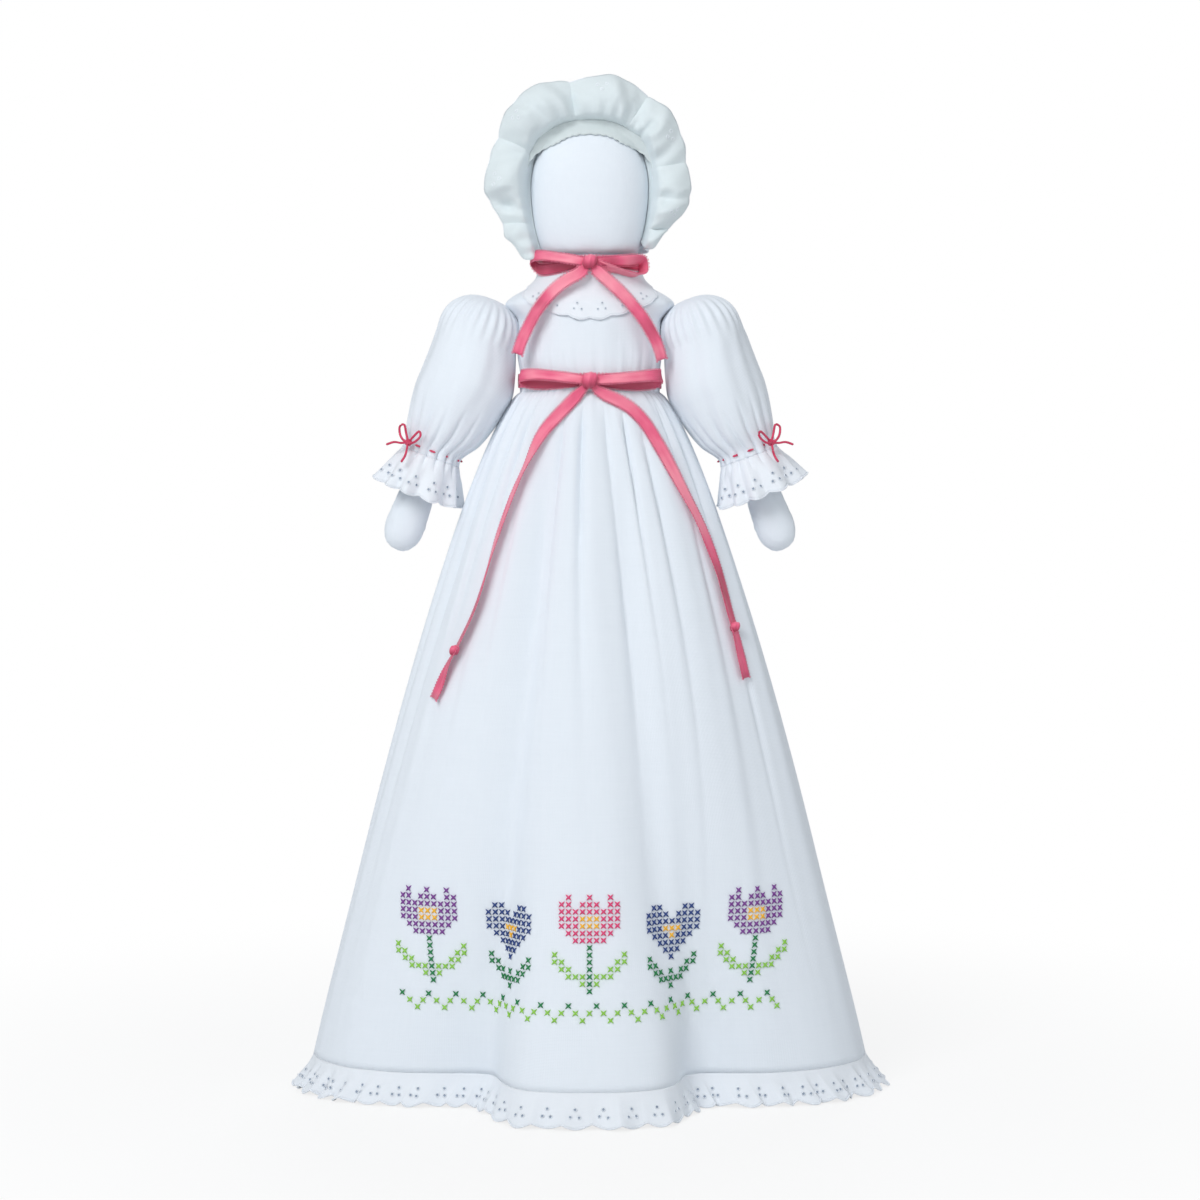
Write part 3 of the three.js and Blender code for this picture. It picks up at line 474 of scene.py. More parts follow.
def make_floor():
    """A pale floor that keeps the shadow and fades to the white of the backdrop."""
    half = 2500.0
    floor = new_object("floor", [[-half, -half, 0], [half, -half, 0], [half, half, 0], [-half, half, 0]],
                       [[0, 1, 2, 3]])
    material, tree, shader = new_material("pale_floor")
    shader.inputs["Base Color"].default_value = (0.86, 0.87, 0.88, 1.0)
    shader.inputs["Roughness"].default_value = 0.9
    shader.inputs["Specular IOR Level"].default_value = 0.1
    place = add_node(tree, "ShaderNodeTexCoord").outputs["Object"]
    far = add_node(tree, "ShaderNodeVectorMath", {0: place}, operation="LENGTH").outputs["Value"]
    fade = add_node(tree, "ShaderNodeMapRange", {
        "Value": far, "From Min": 0.12, "From Max": 0.5, "To Min": 0.8, "To Max": 1.0},
        interpolation_type="SMOOTHSTEP").outputs["Result"]
    path = add_node(tree, "ShaderNodeLightPath")
    white = add_node(tree, "ShaderNodeEmission", {"Color": (1.0, 1.0, 1.0, 1.0), "Strength": 1.0})
    share = math_node(tree, "MULTIPLY", path.outputs["Is Camera Ray"], fade)
    both = add_node(tree, "ShaderNodeMixShader", {
        0: share, 1: shader.outputs[0], 2: white.outputs[0]})
    tree.links.new(both.outputs[0], tree.nodes["Material Output"].inputs["Surface"])
    floor.data.materials.append(material)


bpy.context.scene.view_settings.view_transform = "Standard"
make_camera()
make_world(WORLD_STRENGTH)
for lamp_name, setting in LAMPS.items():
    make_lamp(lamp_name, *setting)
make_floor()

# Outlines that the cloth follows
BODY_STATIONS = np.array([
    [TORSO_BASE_Z, 25.0, 19.0],
    [WAIST_SEAM_Z - 35.0, 30.0, 23.0],
    [WAIST_RIBBON_Z, 30.0, 20.0],
    [SHOULDER_Z - 7.0, 31.5, 19.5],
    [SHOULDER_Z + 7.0, 31.5, 19.5],
    [WAIST_SEAM_Z + 39.0, 36.0, 18.5],
    [TORSO_TOP_Z, 22.0, 16.0],
    [BODICE_TOP_Z, 21.8, 16.8],
])


def body_at(z):
    """Half width and half depth of the stuffed body at a height."""
    z = np.asarray(z, float)
    above = np.clip(np.searchsorted(BODY_STATIONS[:, 0], z), 1, len(BODY_STATIONS) - 1)
    low, high = BODY_STATIONS[above - 1], BODY_STATIONS[above]
    share = smooth((z - low[..., 0]) / (high[..., 0] - low[..., 0]))
    return lerp(low[..., 1], high[..., 1], share), lerp(low[..., 2], high[..., 2], share)


# At the hem the skirt stands out at the front and back and falls in between them: how far, where and how wide
HEM_SWELL, HEM_SWELL_SPREAD = 16.0, 38.0
HEM_HOLLOW, HEM_HOLLOW_AT, HEM_HOLLOW_SPREAD = 21.0, 44.0, 17.0


def hem_fold(angle):
    """How far the folds push the skirt's outline out at the hem."""
    quarter = np.degrees(np.arctan2(np.abs(np.sin(angle)), np.abs(np.cos(angle))))
    swell = np.exp(-(((90 - quarter) / HEM_SWELL_SPREAD) ** 4))
    return HEM_SWELL * swell - HEM_HOLLOW * bell(quarter - HEM_HOLLOW_AT, HEM_HOLLOW_SPREAD)


# How the skirt widens on its way down, and how late its hem folds begin
SKIRT_FLARE_POWER, HEM_FOLD_POWER = 0.72, 4
DRAPE_DEPTH = 3.2
DRAPE_FULL_AT, DRAPE_FADE_AT = 0.3, 0.7
LONG_FOLD_DEPTH = 3.4
# Where the two long folds lie, in degrees from the front, and how wide they are, as half a squared angle
LONG_FOLDS = (-23.33, 16.67)
LONG_FOLD_SPREAD = 0.0036


def skirt_drape(turn, down):
    """How far the drapes and the two long front folds draw the skirt in."""
    wave = 0.6 * np.cos(9 * turn + 2.1) + 0.4 * np.cos(5 * turn + 0.7)
    from_front = turn + np.pi / 2
    folds = sum(np.exp((np.cos(from_front - np.radians(at)) - 1) / LONG_FOLD_SPREAD) for at in LONG_FOLDS)
    strength = smooth(down / DRAPE_FULL_AT) * (1 - smooth((down - DRAPE_FADE_AT) / (1 - DRAPE_FADE_AT)))
    return -strength * (DRAPE_DEPTH * (1 - wave) / 2 + LONG_FOLD_DEPTH * folds)


def skirt_point(turn, z, offset=0.0):
    down = np.maximum((WAIST_SEAM_Z - z) / SKIRT_LENGTH, 0)
    waist = [size + BODICE_OFFSET for size in body_at(WAIST_SEAM_Z + LAYER_GAP)]
    spread = down ** SKIRT_FLARE_POWER
    x = lerp(waist[0], HEM_HALF_WIDTH, spread) * np.cos(turn)
    y = lerp(waist[1], HEM_HALF_DEPTH, spread) * np.sin(turn)
    angle = np.arctan2(y, x)
    reach = np.hypot(x, y) + hem_fold(angle) * down ** HEM_FOLD_POWER + skirt_drape(turn, down) + offset
    return points_of(reach * np.cos(angle), reach * np.sin(angle), z)


# Sewn details made by Geometry Nodes on loose points
def new_sewing_tree(name, sizes):
    """An empty tree with its sizes as named inputs, in metres."""
    tree = bpy.data.node_groups.new(name, "GeometryNodeTree")
    tree.interface.new_socket("Geometry", in_out="INPUT", socket_type="NodeSocketGeometry")
    for label, value in sizes.items():
        socket = tree.interface.new_socket(label, in_out="INPUT", socket_type="NodeSocketFloat")
        socket.default_value = value * MM
    for label in ("Material", "Second Material"):
        tree.interface.new_socket(label, in_out="INPUT", socket_type="NodeSocketMaterial")
    tree.interface.new_socket("Geometry", in_out="OUTPUT", socket_type="NodeSocketGeometry")
    return tree, tree.nodes.new("NodeGroupInput"), tree.nodes.new("NodeGroupOutput")


def place_on_points(tree, given, result, shape):
    """Sets the shape on every point, turned and scaled by the point, and gives it its material."""
    turn = add_node(tree, "GeometryNodeInputNamedAttribute", {"Name": "turn"}, data_type="FLOAT_VECTOR")
    size = add_node(tree, "GeometryNodeInputNamedAttribute", {"Name": "size"}, data_type="FLOAT")
    facing = add_node(tree, "FunctionNodeEulerToRotation", {0: turn.outputs["Attribute"]})
    placed = add_node(tree, "GeometryNodeInstanceOnPoints", {
        "Points": given.outputs["Geometry"], "Instance": shape,
        "Rotation": facing.outputs[0], "Scale": size.outputs["Attribute"]})
    real = add_node(tree, "GeometryNodeRealizeInstances", {"Geometry": placed.outputs[0]})
    first = add_node(tree, "GeometryNodeSetMaterial", {
        "Geometry": real.outputs[0], "Material": given.outputs["Material"]})
    inner = add_node(tree, "GeometryNodeInputNamedAttribute", {"Name": "inner"}, data_type="BOOLEAN")
    second = add_node(tree, "GeometryNodeSetMaterial", {
        "Geometry": first.outputs[0], "Selection": inner.outputs["Attribute"],
        "Material": given.outputs["Second Material"]})
    tree.links.new(second.outputs[0], result.inputs[0])


def capsule(tree, length, width, turn=0.0, lift=0.0):
    """A plump stitch along X, turned about Z and lifted by a share of its width."""
    grain = add_node(tree, "GeometryNodeMeshUVSphere", {"Segments": 6, "Rings": 5, "Radius": 0.5})
    size = add_node(tree, "ShaderNodeCombineXYZ", {0: length, 1: width, 2: width})
    place = add_node(tree, "ShaderNodeCombineXYZ", {2: math_node(tree, "MULTIPLY", width, lift)})
    return add_node(tree, "GeometryNodeTransform", {
        "Geometry": grain.outputs[0], "Translation": place.outputs[0],
        "Rotation": (0.0, 0.0, turn), "Scale": size.outputs[0]}).outputs[0]


def ring(tree, radius, thickness, sides):
    line = add_node(tree, "GeometryNodeCurvePrimitiveCircle", {"Resolution": sides, "Radius": radius})
    section = add_node(tree, "GeometryNodeCurvePrimitiveCircle", {"Resolution": 4, "Radius": thickness})
    return add_node(tree, "GeometryNodeCurveToMesh", {
        "Curve": line.outputs[0], "Profile Curve": section.outputs[0]}).outputs[0]


def join_shapes(tree, *shapes):
    joined = tree.nodes.new("GeometryNodeJoinGeometry")
    for shape in shapes:
        tree.links.new(shape, joined.inputs[0])
    return joined.outputs[0]


def make_cross_tree():
    tree, given, result = new_sewing_tree("cross_stitch", {"Length": 3.9, "Width": 0.85})
    length, width = given.outputs["Length"], given.outputs["Width"]
    arms = [capsule(tree, length, width, turn, lift) for turn, lift in ((0.785, 0.1), (-0.785, 0.45))]
    place_on_points(tree, given, result, join_shapes(tree, *arms))
    return tree


def make_dash_tree():
    tree, given, result = new_sewing_tree("running_stitch", {"Length": 3.6, "Width": 1.1})
    shape = capsule(tree, given.outputs["Length"], given.outputs["Width"], 0.0, 0.1)
    place_on_points(tree, given, result, shape)
    return tree


def make_eyelet_tree():
    tree, given, result = new_sewing_tree("eyelet", {"Hole Radius": 0.78, "Rim": 0.22})
    rim = ring(tree, given.outputs["Hole Radius"], given.outputs["Rim"], 9)
    # The hole is a dark disc in the second material, painted shade where the eyelet opens onto the shadow
    # behind the lace.
    hole = add_node(tree, "GeometryNodeMeshCircle", {
        "Vertices": 9, "Radius": given.outputs["Hole Radius"]}, fill_type="NGON")
    marked = add_node(tree, "GeometryNodeStoreNamedAttribute", {
        "Geometry": hole.outputs[0], "Name": "inner", "Value": True}, data_type="BOOLEAN", domain="FACE")
    place_on_points(tree, given, result, join_shapes(tree, rim, marked.outputs[0]))
    return tree


def make_picot_tree():
    tree, given, result = new_sewing_tree("picot_loop", {"Loop Radius": 0.42, "Thread": 0.2})
    place_on_points(tree, given, result, ring(tree, given.outputs["Loop Radius"], given.outputs["Thread"], 7))
    return tree


# How far the sewn details stand off the cloth
EYELET_LIFT, CROSS_LIFT, DASH_LIFT = 0.25, 0.15, 0.2
CROSSES = make_cross_tree()
DASHES = make_dash_tree()
EYELETS = make_eyelet_tree()
PICOTS = make_picot_tree()


def turns_of(along, out):
    """The turn of each stitch, from the way it runs and the way it faces."""
    out = unit(out)
    across = unit(np.cross(out, along))
    along = np.cross(across, out)
    return [Matrix((x, y, z)).transposed().to_euler() for x, y, z in zip(along, across, out)]


def sew(name, tree, points, along, out, materials, sizes=None, colours=None):
    """Stitches, eyelets or picots on points in millimetres, as one plain mesh."""
    points = np.asarray(points).reshape(-1, 3)
    piece = new_object(name, points, [])
    turn = piece.data.attributes.new("turn", "FLOAT_VECTOR", "POINT")
    turn.data.foreach_set("vector", np.array(turns_of(along, out)).ravel())
    size = piece.data.attributes.new("size", "FLOAT", "POINT")
    size.data.foreach_set("value", np.ones(len(points)) if sizes is None else np.asarray(sizes))
    if colours is not None:
        colour = piece.data.attributes.new("stitch_colour", "FLOAT_COLOR", "POINT")
        colour.data.foreach_set("color", np.array(colours).ravel())
    sewing = piece.modifiers.new("sewing", "NODES")
    sewing.node_group = tree
    for item in tree.interface.items_tree:
        if item.in_out == "INPUT" and item.socket_type == "NodeSocketMaterial":
            sewing[item.identifier] = materials[0 if item.name == "Material" else -1]
    return bake(piece)


def on_surface(surface, first, second, guide, step=0.002):
    """Points of a surface with the way that runs along it and the way that faces out."""
    point = surface(first, second)
    along = surface(first + step, second) - point
    other = surface(first, second + step) - point
    out = unit(np.cross(along, other))
    facing = np.sign((out * guide(point)).sum(axis=-1, keepdims=True))
    return point, unit(along), out * facing


def away_from_axis(point):
    return point * np.array([1.0, 1.0, 0.0])


def to_the_front(point):
    return np.broadcast_to([0.0, -1.0, 0.0], point.shape)


def merge(piece, *others):
    """Joins other meshes into a piece, with their materials."""
    with bpy.context.temp_override(
            active_object=piece, object=piece, selected_editable_objects=[piece, *others]):
        bpy.ops.object.join()
    return piece


def sew_eyelets(name, surface, clusters, spread, rows, guide, size=1.0):
    """Eyelets in threes just off a surface: one in the upper row and two below it, a spread to each side."""
    upper, lower = rows
    at = np.concatenate([clusters, clusters - spread, clusters + spread])
    down = np.repeat([upper, lower, lower], len(clusters))
    point, along, out = on_surface(surface, at, down, guide)
    sizes = np.full(len(at), size)
    return sew(name, EYELETS, point + EYELET_LIFT * out, along, out, [lace_thread, eyelet_shade], sizes)


def dress_lace(piece, eyelets, bead, material, body, node):
    """Dresses a lace, and its eyelets with the stitching of its edge as one piece."""
    dress(piece, material, body, "eyelet_lace", node)
    dress(merge(eyelets, bead), None, body, "eyelet_lace")


# Ribbons
PICOT_SPACING = 1.35


def resample(rows, at):
    return np.stack([np.interp(at, np.arange(len(rows)), rows[:, k]) for k in range(3)], axis=1)


# Stores a ribbon's painted highlight and shade on its points, 0 for dark and 1 for light.
def set_painted_light(piece, values):
    held = piece.data.attributes.new("painted_light", "FLOAT", "POINT")
    held.data.foreach_set("value", np.asarray(values, float))


def ribbon_piece(name, path, across, painted_light, width=RIBBON_WIDTH, crown=0.25):
    """A flat ribbon along a path, with a slight crown and picot loops on both edges."""
    across = unit(np.asarray(across, float))
    along = unit(np.gradient(path, axis=0))
    out = unit(np.cross(along, across))
    half = across * width / 2
    shares = np.linspace(-1, 1, 9)
    rows = [path + half * share + out * crown * (1 - share**2) for share in shares]
    piece = grid_piece(name, np.stack(rows))
    set_painted_light(piece, np.tile(np.broadcast_to(painted_light, len(path)), len(shares)))
    piece.data.materials.append(satin)
    thicken(piece, 0.45, 0.0)
    at = np.linspace(0, len(path) - 1, int(route_length(path) / PICOT_SPACING))
    edges = [resample(path + side * (half + 0.2 * across), at) for side in (-1, 1)]
    runs, faces = [np.tile(resample(rows, at), (2, 1)) for rows in (along, out)]
    return merge(piece, sew(name + "_picots", PICOTS, np.concatenate(edges), runs, faces, [picot_thread]))


def ribbon_seat(z):
    sizes = [body_at(level) for level in np.linspace(z - RIBBON_WIDTH / 2, z + RIBBON_WIDTH / 2, 7)]
    return [max(size[k] for size in sizes) + BODICE_OFFSET + LAYER_GAP for k in (0, 1)]


KNOT_DEPTH = (4.0 + RIBBON_THICKNESS) / 2 + RIBBON_THICKNESS


def knot_centre(z):
    return np.array([0.0, -(ribbon_seat(z)[1] + RIBBON_THICKNESS + LAYER_GAP + KNOT_DEPTH), z])


def knot_mesh(name, half_size, depth, centre):
    """A wrap of ribbon pulled tight, with its creases."""
    around = full_turn(40)
    across = np.sin(np.linspace(-np.pi / 2, np.pi / 2, 25))
    swell = (1 - np.abs(across) ** 3) ** 0.5
    crease = 1 + 0.07 * np.cos(8.5 * across)
    size = (swell * crease)[:, None]
    lean = 0.16 * half_size * np.cos(around)
    x = half_size * across[:, None] + lean * swell[:, None]
    rows = points_of(x, depth * size * np.sin(around), half_size * size * np.cos(around))
    piece = subdivide(weld(grid_piece(name, rows + centre, wrap=True)))
    places = vertex_places(piece.data)[:, 2] / MM - centre[2]
    # Painted light: the knot is lighter at its top and darker at its bottom.
    set_painted_light(piece, 0.35 + 0.4 * places / half_size)
    return piece


# Routes of the free tails from the middle of their knot, the same as the solids have
TAIL_ROUTES = {
    ("waist", "left"): [
        [-4.2, -5.2], [-8.4, -9.6], [-12.6, -14], [-20.9, -23.4], [-27.7, -37], [-34.6, -52.8],
        [-40.8, -70.5], [-49.5, -99.2], [-57.4, -116.9], [-63.1, -127.9], [-69.3, -142.1]],
    ("waist", "right"): [
        [4.4, -5.2], [11, -8.2], [18, -12], [24.5, -18.5], [30, -27.2], [35.6, -37], [42.2, -50],
        [50.5, -66.5], [57.3, -84.5], [62.4, -103.6], [66.6, -119.2], [70, -133.2]],
    ("neck", "left"): [
        [-4.4, 0.2, -5], [-10, 0.3, -8], [-17, 0.6, -13.5], [-24, 1.2, -22.5], [-30, 3.2, -34],
        [-32.3, 4.2, -41]],
    ("neck", "right"): [
        [4.4, 0.2, -5], [9, 0.3, -9], [15.7, 0.5, -15.4], [24, 1.2, -25.5], [30, 3, -36], [32.3, 4, -43.5]],
}
TAIL_HEIGHTS = {"waist": WAIST_RIBBON_Z, "neck": NECK_RIBBON_Z}
TAIL_START_LIFT, TAIL_LIFT, TAIL_FALL = 2.6, 1.4, 16.0
# Where along a tail it starts to stand on its edge, how far it turns, and where it has its knot
TAIL_TWISTS = {("waist", "left"): (0.12, -58.0), ("waist", "right"): (0.3, 20.0)}
TAIL_KNOT_AT, TAIL_KNOT_SIZE, TAIL_KNOT_DEPTH = 0.86, 2.3, 2.0
# Seeds of the painted highlight and shade along each tail.
TAIL_LIGHT_SEEDS = {("waist", "left"): 1, ("waist", "right"): 4, ("neck", "left"): 6, ("neck", "right"): 9}


def skirt_front_y(x, z):
    turn = np.linspace(-np.pi, 0, 400)
    line = skirt_point(turn, z)
    return np.interp(x, line[:, 0], line[:, 1])


def tail_path(place, side):
    knot = knot_centre(TAIL_HEIGHTS[place])
    route = []
    for step in TAIL_ROUTES[place, side]:
        if place == "waist":
            across, up = step
            lift = lerp(TAIL_START_LIFT, TAIL_LIFT, smooth(-up / TAIL_FALL))
            route.append([across, skirt_front_y(across, knot[2] + up) - lift, knot[2] + up])
        else:
            route.append(knot + step)
    start = knot + [0.25 * TAIL_ROUTES[place, side][0][0], 0.6, -1.6]
    return smooth_route([start, *route], 40)


def make_tail(place, side):
    """A free ribbon tail, cut off at its end."""
    path = tail_path(place, side)
    along = unit(np.gradient(path, axis=0))
    flatness = (HEM_HALF_DEPTH / HEM_HALF_WIDTH) ** 2
    out = unit(path * np.array([flatness, 1.0, 0.0]))
    across = unit(np.cross(along, out))
    start, twist = TAIL_TWISTS.get((place, side), (0.0, 0.0))
    share = np.linspace(0, 1, len(path))
    wave = smooth((share - start) / 0.2) * (1 - 0.6 * smooth((share - TAIL_KNOT_AT) / 0.1))
    angle = (np.radians(twist) * wave + 0.12 * ripple(14 * share, 2))[:, None]
    lean = across * np.cos(angle) + out * np.sin(angle)
    middle = path + out * np.abs(np.sin(angle)) * RIBBON_WIDTH / 2
    # Painted highlight and shade along the tail: light near the knot, darker from about halfway down.
    painted_light = 0.72 + 0.35 * ripple(9 * share, TAIL_LIGHT_SEEDS[place, side]) - 0.25 * smooth((share - 0.45) / 0.2)
    pinch = RIBBON_WIDTH * lerp(0.5, 1.0, smooth(share / 0.06))
    piece = ribbon_piece(f"{place}_tail_{side}_ribbon", middle, lean, painted_light, pinch[:, None])
    if place == "waist":
        spot = int(TAIL_KNOT_AT * (len(path) - 1))
        tied_at = middle[spot] + 0.6 * out[spot]
        tied = knot_mesh(f"{place}_tail_knot_{side}", TAIL_KNOT_SIZE, TAIL_KNOT_DEPTH, tied_at)
        tied.data.materials.append(satin)
        piece = merge(piece, tied)
    dress(piece, None, "torso", "satin_ribbon", f"{place}_tail_{side}")


for place, side in TAIL_ROUTES:
    make_tail(place, side)


def make_band(place):
    """The ribbon tied round the gown, a little crumpled."""
    z = TAIL_HEIGHTS[place]
    half_width, half_depth = ribbon_seat(z)
    turn = np.linspace(0, 2 * np.pi, 181)
    crumple = 0.35 + 0.3 * round_ripple(turn, 9, 2) ** 2
    path = points_of((half_width + crumple) * np.cos(turn), (half_depth + crumple) * np.sin(turn),
                     z + 0.5 * round_ripple(turn, 3, 5))
    path[-1] = path[0]
    lean = points_of(0.1 * np.sin(4 * turn), 0.0, 1.0)
    # Painted shade round the band, with uneven lighter patches of painted highlight.
    painted_light = 0.25 + 0.2 * round_ripple(turn, 7, 3)
    piece = weld(ribbon_piece(f"{place}_ribbon_band", path, lean, painted_light, crown=0.1))
    dress(piece, None, "torso", "satin_ribbon", f"{place}_ribbon")


# Each loop: its reach, then the way of the ribbon as a share of the reach, out from the band, up from the
# band's middle, and the lean of the ribbon's width out from upright in degrees
BOW_LOOPS = {
    ("waist", "left"): (28.0, [
        (0.04, 1.4, -0.2, 0), (0.3, 1.2, -0.9, 6), (0.6, 1.2, -1.4, 8), (0.88, 1.7, -0.9, 5),
        (0.99, 2.7, 0.2, 0), (1.01, 3.8, 1.3, -10), (0.95, 4.9, 2.3, -20), (0.7, 5.3, 2.7, -30),
        (0.4, 4.7, 1.8, -28), (0.15, 3.5, 0.6, -12), (0.04, 3.0, 0.1, 0)]),
    ("waist", "right"): (30.0, [
        (0.04, 1.4, -0.2, 0), (0.3, 1.2, -1.4, 10), (0.6, 1.2, -1.9, 10), (0.9, 1.7, -1.1, 5),
        (0.99, 2.8, 0.4, 0), (1.0, 4.0, 1.6, -10), (0.93, 5.0, 2.5, -18), (0.7, 5.2, 2.1, -28),
        (0.4, 4.6, 1.1, -22), (0.15, 3.5, 0.3, -10), (0.04, 3.0, 0.0, 0)]),
    ("neck", "left"): (25.5, [
        (0.05, 1.4, -0.3, 0), (0.3, 1.3, -1.3, 12), (0.6, 1.3, -2.6, 16), (0.86, 1.7, -2.8, 14),
        (0.98, 2.7, -1.2, 4), (1.0, 3.9, 0.9, -14), (0.93, 5.1, 2.8, -28), (0.7, 5.6, 3.2, -38),
        (0.4, 4.9, 1.9, -34), (0.15, 3.6, 0.5, -16), (0.04, 3.0, 0.0, 0)]),
    ("neck", "right"): (24.0, [
        (0.05, 3.0, 0.0, 0), (0.3, 3.6, 0.3, 4), (0.6, 3.8, 0.9, 6), (0.85, 3.4, 1.4, 8),
        (0.98, 2.9, 0.9, 34), (1.02, 2.8, -1.6, 66), (0.97, 3.0, -4.2, 78), (0.8, 3.4, -5.6, 76),
        (0.5, 3.4, -4.3, 70), (0.2, 3.0, -1.8, 40), (0.05, 2.6, -0.4, 0)]),
}


def make_loop(place, side_name, side):
    """One loop of a bow: out from the knot, round its end and back over itself."""
    z = TAIL_HEIGHTS[place]
    half_width, half_depth = ribbon_seat(z)
    reach, steps = BOW_LOOPS[place, side_name]
    end = 2 * reach / (half_width + half_depth)
    route = []
    for share, off, up, _ in steps:
        turn = end * share
        route.append([side * (half_width + off) * np.sin(turn), -(half_depth + off) * np.cos(turn), z + up])
    path = smooth_route(route, 56)
    t = np.linspace(0, 1, len(path))
    lean = np.radians(np.interp(t, np.linspace(0, 1, len(steps)), [step[3] for step in steps]))[:, None]
    out = unit(path * np.array([1.0, 1.0, 0.0]))
    width = np.array([0.0, 0.0, 1.0]) * np.cos(lean) + out * np.sin(lean)
    pinch = RIBBON_WIDTH * (0.55 + 0.45 * np.sin(np.pi * t) ** 0.5)
    # Painted shade and highlight: the back layer of the loop is darker than the front, and the ribbon darkens
    # towards the knot.
    layer = (1 + np.tanh(8 * (t - 0.55))) / 2
    back, front = (0.55, 0.9) if (place, side_name) == ("neck", "right") else (0.05, 0.85)
    near_knot = 1 - np.abs(np.sin(np.pi * t)) ** 0.5
    painted_light = lerp(back, front, layer) - 0.4 * near_knot + 0.2 * ripple(12 * t, reach)
    piece = ribbon_piece(f"{place}_loop_{side_name}", path, width, painted_light, pinch[:, None])
    dress(piece, None, "torso", "satin_ribbon", f"{place}_bow_loop_{side_name}")


def make_knot(place, half_size):
    piece = knot_mesh(f"{place}_bow_knot", half_size, KNOT_DEPTH, knot_centre(TAIL_HEIGHTS[place]))
    dress(piece, satin, "torso", "satin_ribbon", f"{place}_knot")


KNOT_SIZES = {"waist": 3.6, "neck": 3.2}
for place, knot_size in KNOT_SIZES.items():
    make_band(place)
    make_knot(place, knot_size)
    for side_name, side in SIDES:
        make_loop(place, side_name, side)


# Cloth that is sewn in rounds
def tube(name, path, radius, closed=False, sides=6):
    """A round thread along a path; an open one tapers shut at its ends."""
    if closed:
        along = unit(np.roll(path, -1, axis=0) - np.roll(path, 1, axis=0))
    else:
        along = unit(np.gradient(path, axis=0))
    upright = np.where(np.abs(along[:, 2:]) > 0.9, [[0.0, 1.0, 0.0]], [[0.0, 0.0, 1.0]])
    side = unit(np.cross(along, upright))
    up = np.cross(side, along)
    size = np.full((len(path), 1), radius)
    if not closed:
        size[[0, -1]] = 0.0
    angles = np.linspace(0, 2 * np.pi, sides + 1)
    rows = np.stack([path + size * (side * np.cos(a) + up * np.sin(a)) for a in angles])
    return weld(grid_piece(name, rows, wrap=closed), 0.001)


def edge_bead(name, path, radius, closed=True):
    """The buttonhole stitching along a scalloped edge."""
    piece = tube(name, path, radius, closed)
    piece.data.materials.append(lace_thread)
    return piece


SKIRT_GATHERS = 27


def tail_clearance(points):
    """Fades the folds to nothing under the waist tails, so that the ribbon lies on flat cloth."""
    nearest = np.full(points.shape[:-1], 1e9)
    for side, _ in SIDES:
        for spot in tail_path("waist", side)[::2]:
            gap = np.hypot(points[..., 0] - spot[0], points[..., 2] - spot[2])
            nearest = np.minimum(nearest, gap)
    nearest = np.where(points[..., 1] > 0, 1e9, nearest)
    return 1 - bell(nearest, 6)


def skirt_folds(turn, z):
    """Gathers under the waist, with narrow valleys that run out at uneven heights, and small ripples."""
    down = np.maximum((WAIST_SEAM_Z - z) / SKIRT_LENGTH, 0)
    lean = turn + 0.05 * np.sin(4 * down + 3 * turn)
    phase = SKIRT_GATHERS * lean + 1.3 * np.sin(5 * turn) + 0.9 * np.sin(11 * turn)
    valley = (1 - np.abs(np.sin(phase / 2))) ** 1.8
    reach = 0.36 + 0.18 * round_ripple(turn, 13, 4)
    depth = 3.1 + 1.1 * round_ripple(turn, 17, 8)
    gathers = -depth * valley * bell(down, reach) * smooth((down + 0.02) / 0.1)
    pleats = 0.5 * np.cos(2 * phase) * np.exp(-down / 0.05)
    ripples = 0.9 * round_ripple(lean, 14, 7) * smooth(down / 0.3) * (1 - 0.45 * down)
    return gathers + pleats + ripples


def skirt_surface(turn, z):
    flat = skirt_point(turn, z)
    return skirt_point(turn, z, skirt_folds(turn, z) * tail_clearance(flat) - 0.1)


def make_skirt():
    turn = full_turn(480)
    levels = WAIST_SEAM_Z - SKIRT_LENGTH * np.linspace(0, 1, 108) ** 1.25
    levels = np.r_[WAIST_RIBBON_Z - 1.5, WAIST_SEAM_Z + 1.2, levels]
    rows = skirt_surface(turn[None, :], levels[:, None])
    piece = thicken(grid_piece("gown_skirt", rows, wrap=True), 0.8)
    return dress(piece, cotton, "torso", "white_cotton", "skirt")


HEM_GATHERS = 47
HEM_SCALLOPS, HEM_SCALLOP_DEPTH = 84, 1.9
HEM_FLARE, HEM_GATHER_DEPTH, HEM_WAVE_DEPTH = 8.3, 1.9, 1.6
HEM_OFF_FLOOR = 0.5


def hem_ruffle_surface(turn, down):
    gather = np.cos(HEM_GATHERS * turn + 1.2 * np.sin(7 * turn) + 0.8 * np.sin(17 * turn))
    flare = HEM_FLARE + HEM_GATHER_DEPTH * gather + HEM_WAVE_DEPTH * round_ripple(turn, 23, 4)
    flare = down ** 1.25 * flare - 0.15
    points = scallop(HEM_SCALLOPS * turn / 2 + 0.3 * np.sin(9 * turn), HEM_SCALLOP_DEPTH)
    edge = skirt_point(turn, SKIRT_BOTTOM_Z, flare + skirt_folds(turn, SKIRT_BOTTOM_Z))
    z = SKIRT_BOTTOM_Z + LAYER_GAP - down * (SKIRT_BOTTOM_Z - HEM_OFF_FLOOR - points)
    return points_of(edge[..., 0], edge[..., 1], z)


def make_hem_ruffle():
    turn = full_turn(1100)
    rows = hem_ruffle_surface(turn[None, :], np.linspace(0, 1, 15)[:, None])
    piece = thicken(grid_piece("hem_lace", rows, wrap=True), 0.5)
    bead = edge_bead("hem_lace_edge", rows[-1], 0.42)
    clusters = np.arange(0, 2 * np.pi, 2 * np.pi / HEM_SCALLOPS) + np.pi / HEM_SCALLOPS
    wide = 0.3 * np.pi / HEM_SCALLOPS
    eyelets = sew_eyelets("hem_lace_eyelets", hem_ruffle_surface, clusters, wide, (0.48, 0.7), away_from_axis)
    dress_lace(piece, eyelets, bead, lace, "torso", "hem_ruffle")


skirt = make_skirt()
make_hem_ruffle()


